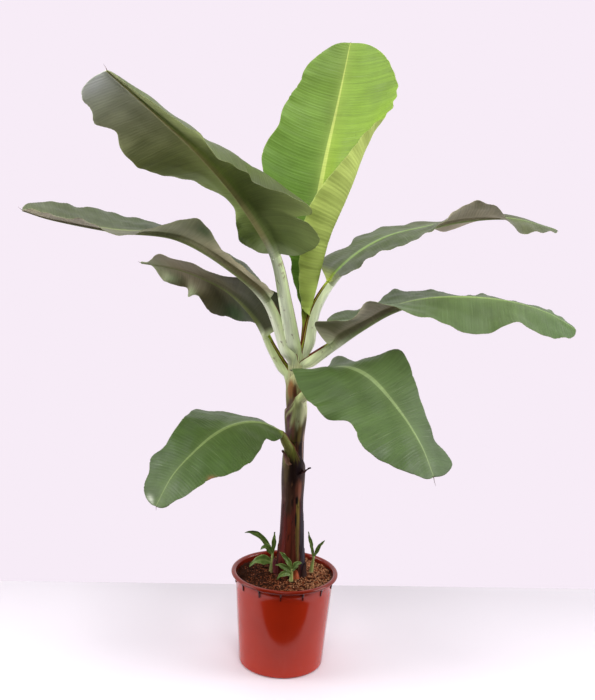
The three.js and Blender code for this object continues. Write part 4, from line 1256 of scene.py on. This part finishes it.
def soil_pieces():
    away = np.linspace(0.004, 1, SOIL_RINGS)[:, None] ** 0.8 * SOIL_RADIUS
    turn = round_turn(SOIL_COUNT)
    x, y = away * np.cos(turn), away * np.sin(turn)
    top = np.stack([x, y, soil_height(x, y)], -1)
    low = top[-1:].copy()
    low[..., 2] = (SOIL_TOP - SOIL_DEPTH) * MM
    low[..., :2] *= 0.97
    places = np.concatenate([top, low])[::-1]
    bed = mesh_piece("compost_bed", places, tube_faces(SOIL_RINGS + 1, SOIL_COUNT))
    dressed(bed, "soil", [compost("compost_dark", 0x3E1E10, 0.55, 1.35)], "soil")

    rng = np.random.default_rng(CHIP_SEED)
    square = ((-1, -1), (1, -1), (1, 1), (-1, 1))
    corners = np.array([[x, y, z] for z in (-1, 1) for x, y in square]) / 2
    box = np.array([[3, 2, 1, 0], [4, 5, 6, 7], [0, 1, 5, 4], [1, 2, 6, 5], [2, 3, 7, 6], [3, 0, 4, 7]])
    total = CHIPS + FIBRES
    sizes = [np.concatenate([rng.uniform(*chip, CHIPS), rng.uniform(*fibre, FIBRES)])
             for chip, fibre in zip(CHIP_SIZES, FIBRE_SIZES)]
    away = np.sqrt(rng.uniform(0, 1, total)) * (SOIL_RADIUS - WALL_SPACE * MM)
    turn = rng.uniform(0, 2 * np.pi, total)
    x, y = away * np.cos(turn), away * np.sin(turn)
    z = soil_height(x, y) + rng.uniform(0, CHIP_RISE, total) * MM
    shape = corners[None] * (1 + rng.uniform(-CHIP_SHAKE, CHIP_SHAKE, (total, 8, 3)))
    shape = shape * np.stack(sizes, -1)[:, None] * MM
    spin, tip = rng.uniform(0, 2 * np.pi, total), rng.normal(0, CHIP_TIP, total)
    ahead = np.stack([np.cos(spin) * np.cos(tip), np.sin(spin) * np.cos(tip), np.sin(tip)], -1)
    left = np.stack([-np.sin(spin), np.cos(spin), 0 * spin], -1)
    axes = np.stack([ahead, left, np.cross(ahead, left)], 1)
    vertices = np.stack([x, y, z], -1)[:, None] + shape @ axes
    stem_off = np.hypot(x - STEM_AXIS[0] * MM, y) > STEM_SPACE * MM
    light = rng.uniform(0, 1, total) + CHIP_LIGHT * x / SOIL_RADIUS + CHIP_LIGHT_BASE
    for name, least, most, tone, dark, bright in CHIP_KINDS:
        kept = vertices[(light >= least) & (light < most) & stem_off]
        faces = (np.arange(len(kept))[:, None, None] * 8 + box).reshape(-1, 4)
        piece = mesh_piece(name, kept, faces, soft=False)
        dressed(piece, "soil", [compost("compost_" + name, tone, dark, bright)])


# ---- pot ----
POT_COUNT = 224
POT_WALL = 3
POT_INNER_LEVELS = (268, 240, 200, 40)
POT_FLOOR_TOP = 10
# The foot ring: its inner and outer reach in from the wall, and how far the underside is drawn up.
RING_INNER = 26
RING_OUTER = 18
RECESS = 6
# The profile begins and ends this far from the axis, and the inside's lower corner is cut off this far.
CENTRE = 0.5
INNER_CORNER = 8
# The wall starts at WALL_START over the rounded foot and steps out at STEP_Z; the lip grows from LIP_ROOT.
WALL_START = 24
STEP_Z = 252
STEP_IN = 0.7
STEP_RISE = 1.5
LIP_ROOT = 266
LIP_TURN = (-100, 172)
LIP_POINTS = 22
# The gussets under the lip: the angle of the first, the reach of their feet, how far they run up into the
# lip and how far into the wall.
GUSSETS = 14
GUSSET_START = -2.9
GUSSET_HEIGHT = 25
GUSSET_OUT = 1.8
GUSSET_WIDTH = 3.8
GUSSET_LAP = 3
GUSSET_SINK = 1.5
POT_RED = 0xAC2A0E
# the lip's and the inside's tones are the pot's red made darker: painted shade
POT_LIP_SHADED = 0x7A1E0C
POT_INSIDE_SHADED = 0x641A0E
# the gussets' nearly black red is painted shade on their sides
POT_GUSSET_SHADE = 0x52140A


def arc(centre, radius, first, last, count):
    angles = np.radians(np.linspace(first, last, count))
    return [(centre[0] + radius * math.cos(a), centre[1] + radius * math.sin(a)) for a in angles]


def pot_pieces():
    low, high = wall_radius(0), POT_HEIGHT
    lip = LIP_HEIGHT / 2
    profile = [(CENTRE, RECESS), (low - RING_INNER, RECESS), (low - RING_INNER + 2, 2)]
    profile += [(low - RING_OUTER, 0)]
    profile += arc((low - POT_CORNER, POT_CORNER), POT_CORNER, -90, 0, 9)
    profile += [(wall_radius(z) - STEP_IN, z) for z in np.linspace(WALL_START, STEP_Z - STEP_RISE, 12)]
    profile += [(wall_radius(z), z) for z in (STEP_Z, 260)] + [(wall_radius(LIP_ROOT - 1), LIP_ROOT)]
    turned = np.radians(np.linspace(*LIP_TURN, LIP_POINTS))
    outside = len(profile)
    middle = (POT_RIM_RADIUS + wall_radius(high) - POT_WALL) / 2
    roll = POT_RIM_RADIUS - middle
    profile += [(middle + roll * math.cos(a), high - lip + lip * math.sin(a)) for a in turned]
    profile += [(wall_radius(z) - POT_WALL, z) for z in POT_INNER_LEVELS]
    profile += [(wall_radius(POT_FLOOR_TOP) - INNER_CORNER, POT_FLOOR_TOP), (CENTRE, POT_FLOOR_TOP)]
    profile = np.array(profile)
    r, z = profile[:, :1] * MM, profile[:, 1:] * MM
    rows = len(profile)
    # the lip and the inside wall take darker tones of the same plastic: painted shade
    tones = [POT_RED] * outside + [POT_LIP_SHADED] * len(turned) + [POT_INSIDE_SHADED] * (rows - outside - len(turned))
    tints = np.repeat([linear(tone) for tone in tones], POT_COUNT, 0)
    places = rings(0, 0, z, r, round_turn(POT_COUNT))
    shell = mesh_piece("pot_shell", places, tube_faces(rows, POT_COUNT), tints)
    dressed(shell, "pot", [pot_plastic("pot_plastic")], "pot")

    parts = []
    top = POT_HEIGHT - LIP_HEIGHT + GUSSET_LAP
    for k in range(GUSSETS):
        outward, side = spread_out(-90 + GUSSET_START + 360 / GUSSETS * k)
        grid = []
        for level in np.linspace(0, 1, 7):
            height = top - GUSSET_HEIGHT * level
            out = wall_radius(height) + GUSSET_OUT + (LIP_OUT - 1 - GUSSET_OUT) * (1 - level) ** 3
            grid.append([outward * reach + [0, 0, height]
                         for reach in (wall_radius(height) - GUSSET_SINK, out)])
        grid = np.array(grid) * MM
        half = side * GUSSET_WIDTH / 2 * MM
        parts.append(closed_sheet(grid - half, grid + half))
    vertices, faces = gathered(parts)
    gussets = mesh_piece("pot_gussets", vertices, faces, soft=False)
    # the gussets are coloured dark: painted shade
    dressed(gussets, "pot", [pot_plastic("pot_gusset_painted_shade", POT_GUSSET_SHADE)])


# ---- floor and light ----
# The floor in metres: its edges behind and in front, how they slant, and the painted light at the two
# edges, a factor on its colour that makes the front brighter and the back darker.
FLOOR_BACK = 0.52
FLOOR_SLANT = 0.084
FLOOR_FRONT = -0.28
FLOOR_REACH = 3.2
FLOOR_STEP = 0.1
FLOOR_THICKNESS = 0.02
FLOOR_PAINTED_LIGHT = (1.34, 0.93)
BACKGROUND = linear(0xF7ECF7)
LIGHTS = [  # name, place, size, power in watts and whether it shows in glossy surfaces
    ("left_box", (-3.3, -0.6, 1.7), 2.0, 66, True),
    ("right_box", (3.3, -0.45, 1.7), 2.0, 70, True),
    ("top_box", (0.0, -0.4, 3.3), 2.0, 36, True),
    ("front_box", (0.2, -2.4, 3.0), 1.4, 60, False),
]
LIGHT_AIM = (0, 0, 0.8)
# The room's light by depth: the reach of the depths, the light at their ends and its tone.
ROOM_DEPTHS = (-0.26, 0.26)
ROOM_LIGHT = (0.04, 0.95)
ROOM_TONE = (1, 0.97, 1, 1)


def floor_piece():
    x = np.arange(-FLOOR_REACH, FLOOR_REACH + FLOOR_STEP / 2, FLOOR_STEP)
    gx, share = np.meshgrid(x, np.linspace(0, 1, 12), indexing="ij")
    gy = FLOOR_FRONT + (FLOOR_BACK - FLOOR_FRONT) * share + FLOOR_SLANT * gx
    top = np.stack([gx, gy, 0 * gx], -1)
    vertices, faces = closed_sheet(top, top - [0, 0, FLOOR_THICKNESS])
    floor = mesh_piece("floor", vertices, faces, soft=False)
    surface = Surface("floor_paper_painted_light", 0xDED8DF, Specular_IOR_Level=0.2)
    place = surface.node("ShaderNodeSeparateXYZ")
    surface.link(surface.node("ShaderNodeTexCoord").outputs["Object"], place.inputs[0])
    # painted light: the floor's colour is brighter towards the front and darker towards the back
    surface.shade(place.outputs["Y"], *FLOOR_PAINTED_LIGHT, FLOOR_FRONT, FLOOR_BACK)
    surface.shade(surface.noise(1.2, 3), 0.985, 1.0)
    surface.rough(surface.noise(3, 3), 0.55, 0.7)
    floor.data.materials.append(surface.done())


def lights():
    for name, place, size, power, mirrored in LIGHTS:
        data = bpy.data.lights.new(name, "AREA")
        data.shape = "SQUARE"
        data.size = size
        data.energy = power
        lamp = bpy.data.objects.new(name, data)
        lamp.location = place
        lamp.visible_glossy = mirrored
        lamp.rotation_euler = (Vector(LIGHT_AIM) - Vector(place)).to_track_quat("-Z", "Y").to_euler()
        bpy.context.collection.objects.link(lamp)


def world():
    """A pale studio: bright behind and at the sides, darker towards the camera's end of the room."""
    made = bpy.data.worlds.new("studio")
    made.use_nodes = True
    tree = made.node_tree
    light = tree.nodes["Background"]
    ahead = tree.nodes.new("ShaderNodeTexCoord")
    parts = tree.nodes.new("ShaderNodeSeparateXYZ")
    tree.links.new(ahead.outputs["Generated"], parts.inputs[0])
    depth = tree.nodes.new("ShaderNodeMapRange")
    for socket, number in zip(("From Min", "From Max", "To Min", "To Max"), ROOM_DEPTHS + ROOM_LIGHT):
        depth.inputs[socket].default_value = number
    tree.links.new(parts.outputs["Y"], depth.inputs["Value"])
    light.inputs["Color"].default_value = ROOM_TONE
    tree.links.new(depth.outputs["Result"], light.inputs["Strength"])
    backdrop = tree.nodes.new("ShaderNodeBackground")
    backdrop.inputs["Color"].default_value = (*BACKGROUND, 1)
    mix = tree.nodes.new("ShaderNodeMixShader")
    path = tree.nodes.new("ShaderNodeLightPath")
    tree.links.new(path.outputs["Is Camera Ray"], mix.inputs["Fac"])
    tree.links.new(light.outputs[0], mix.inputs[1])
    tree.links.new(backdrop.outputs[0], mix.inputs[2])
    tree.links.new(mix.outputs[0], tree.nodes["World Output"].inputs["Surface"])
    bpy.context.scene.world = made


# ---- the whole plant ----
SKINS = {"upper": leaf_upper(), "under": leaf_under(), "stalk": stalk_skin(), "stem": stem_skin(),
         "dry": dry_skin(), "sucker": sucker_skin()}
for number, leaf in enumerate(LEAVES):
    leaf_pieces(leaf, number, SKINS)
stem_piece(SKINS)
for number, spec in enumerate(STUBS):
    stub_piece(number, spec, SKINS)
foot_pieces(SKINS)
thread_piece(SKINS)
for number, plant in enumerate(SUCKERS):
    sucker_piece(number, plant, SKINS)
soil_pieces()
pot_pieces()
floor_piece()
lights()
world()
bpy.context.scene.view_settings.view_transform = "Standard"
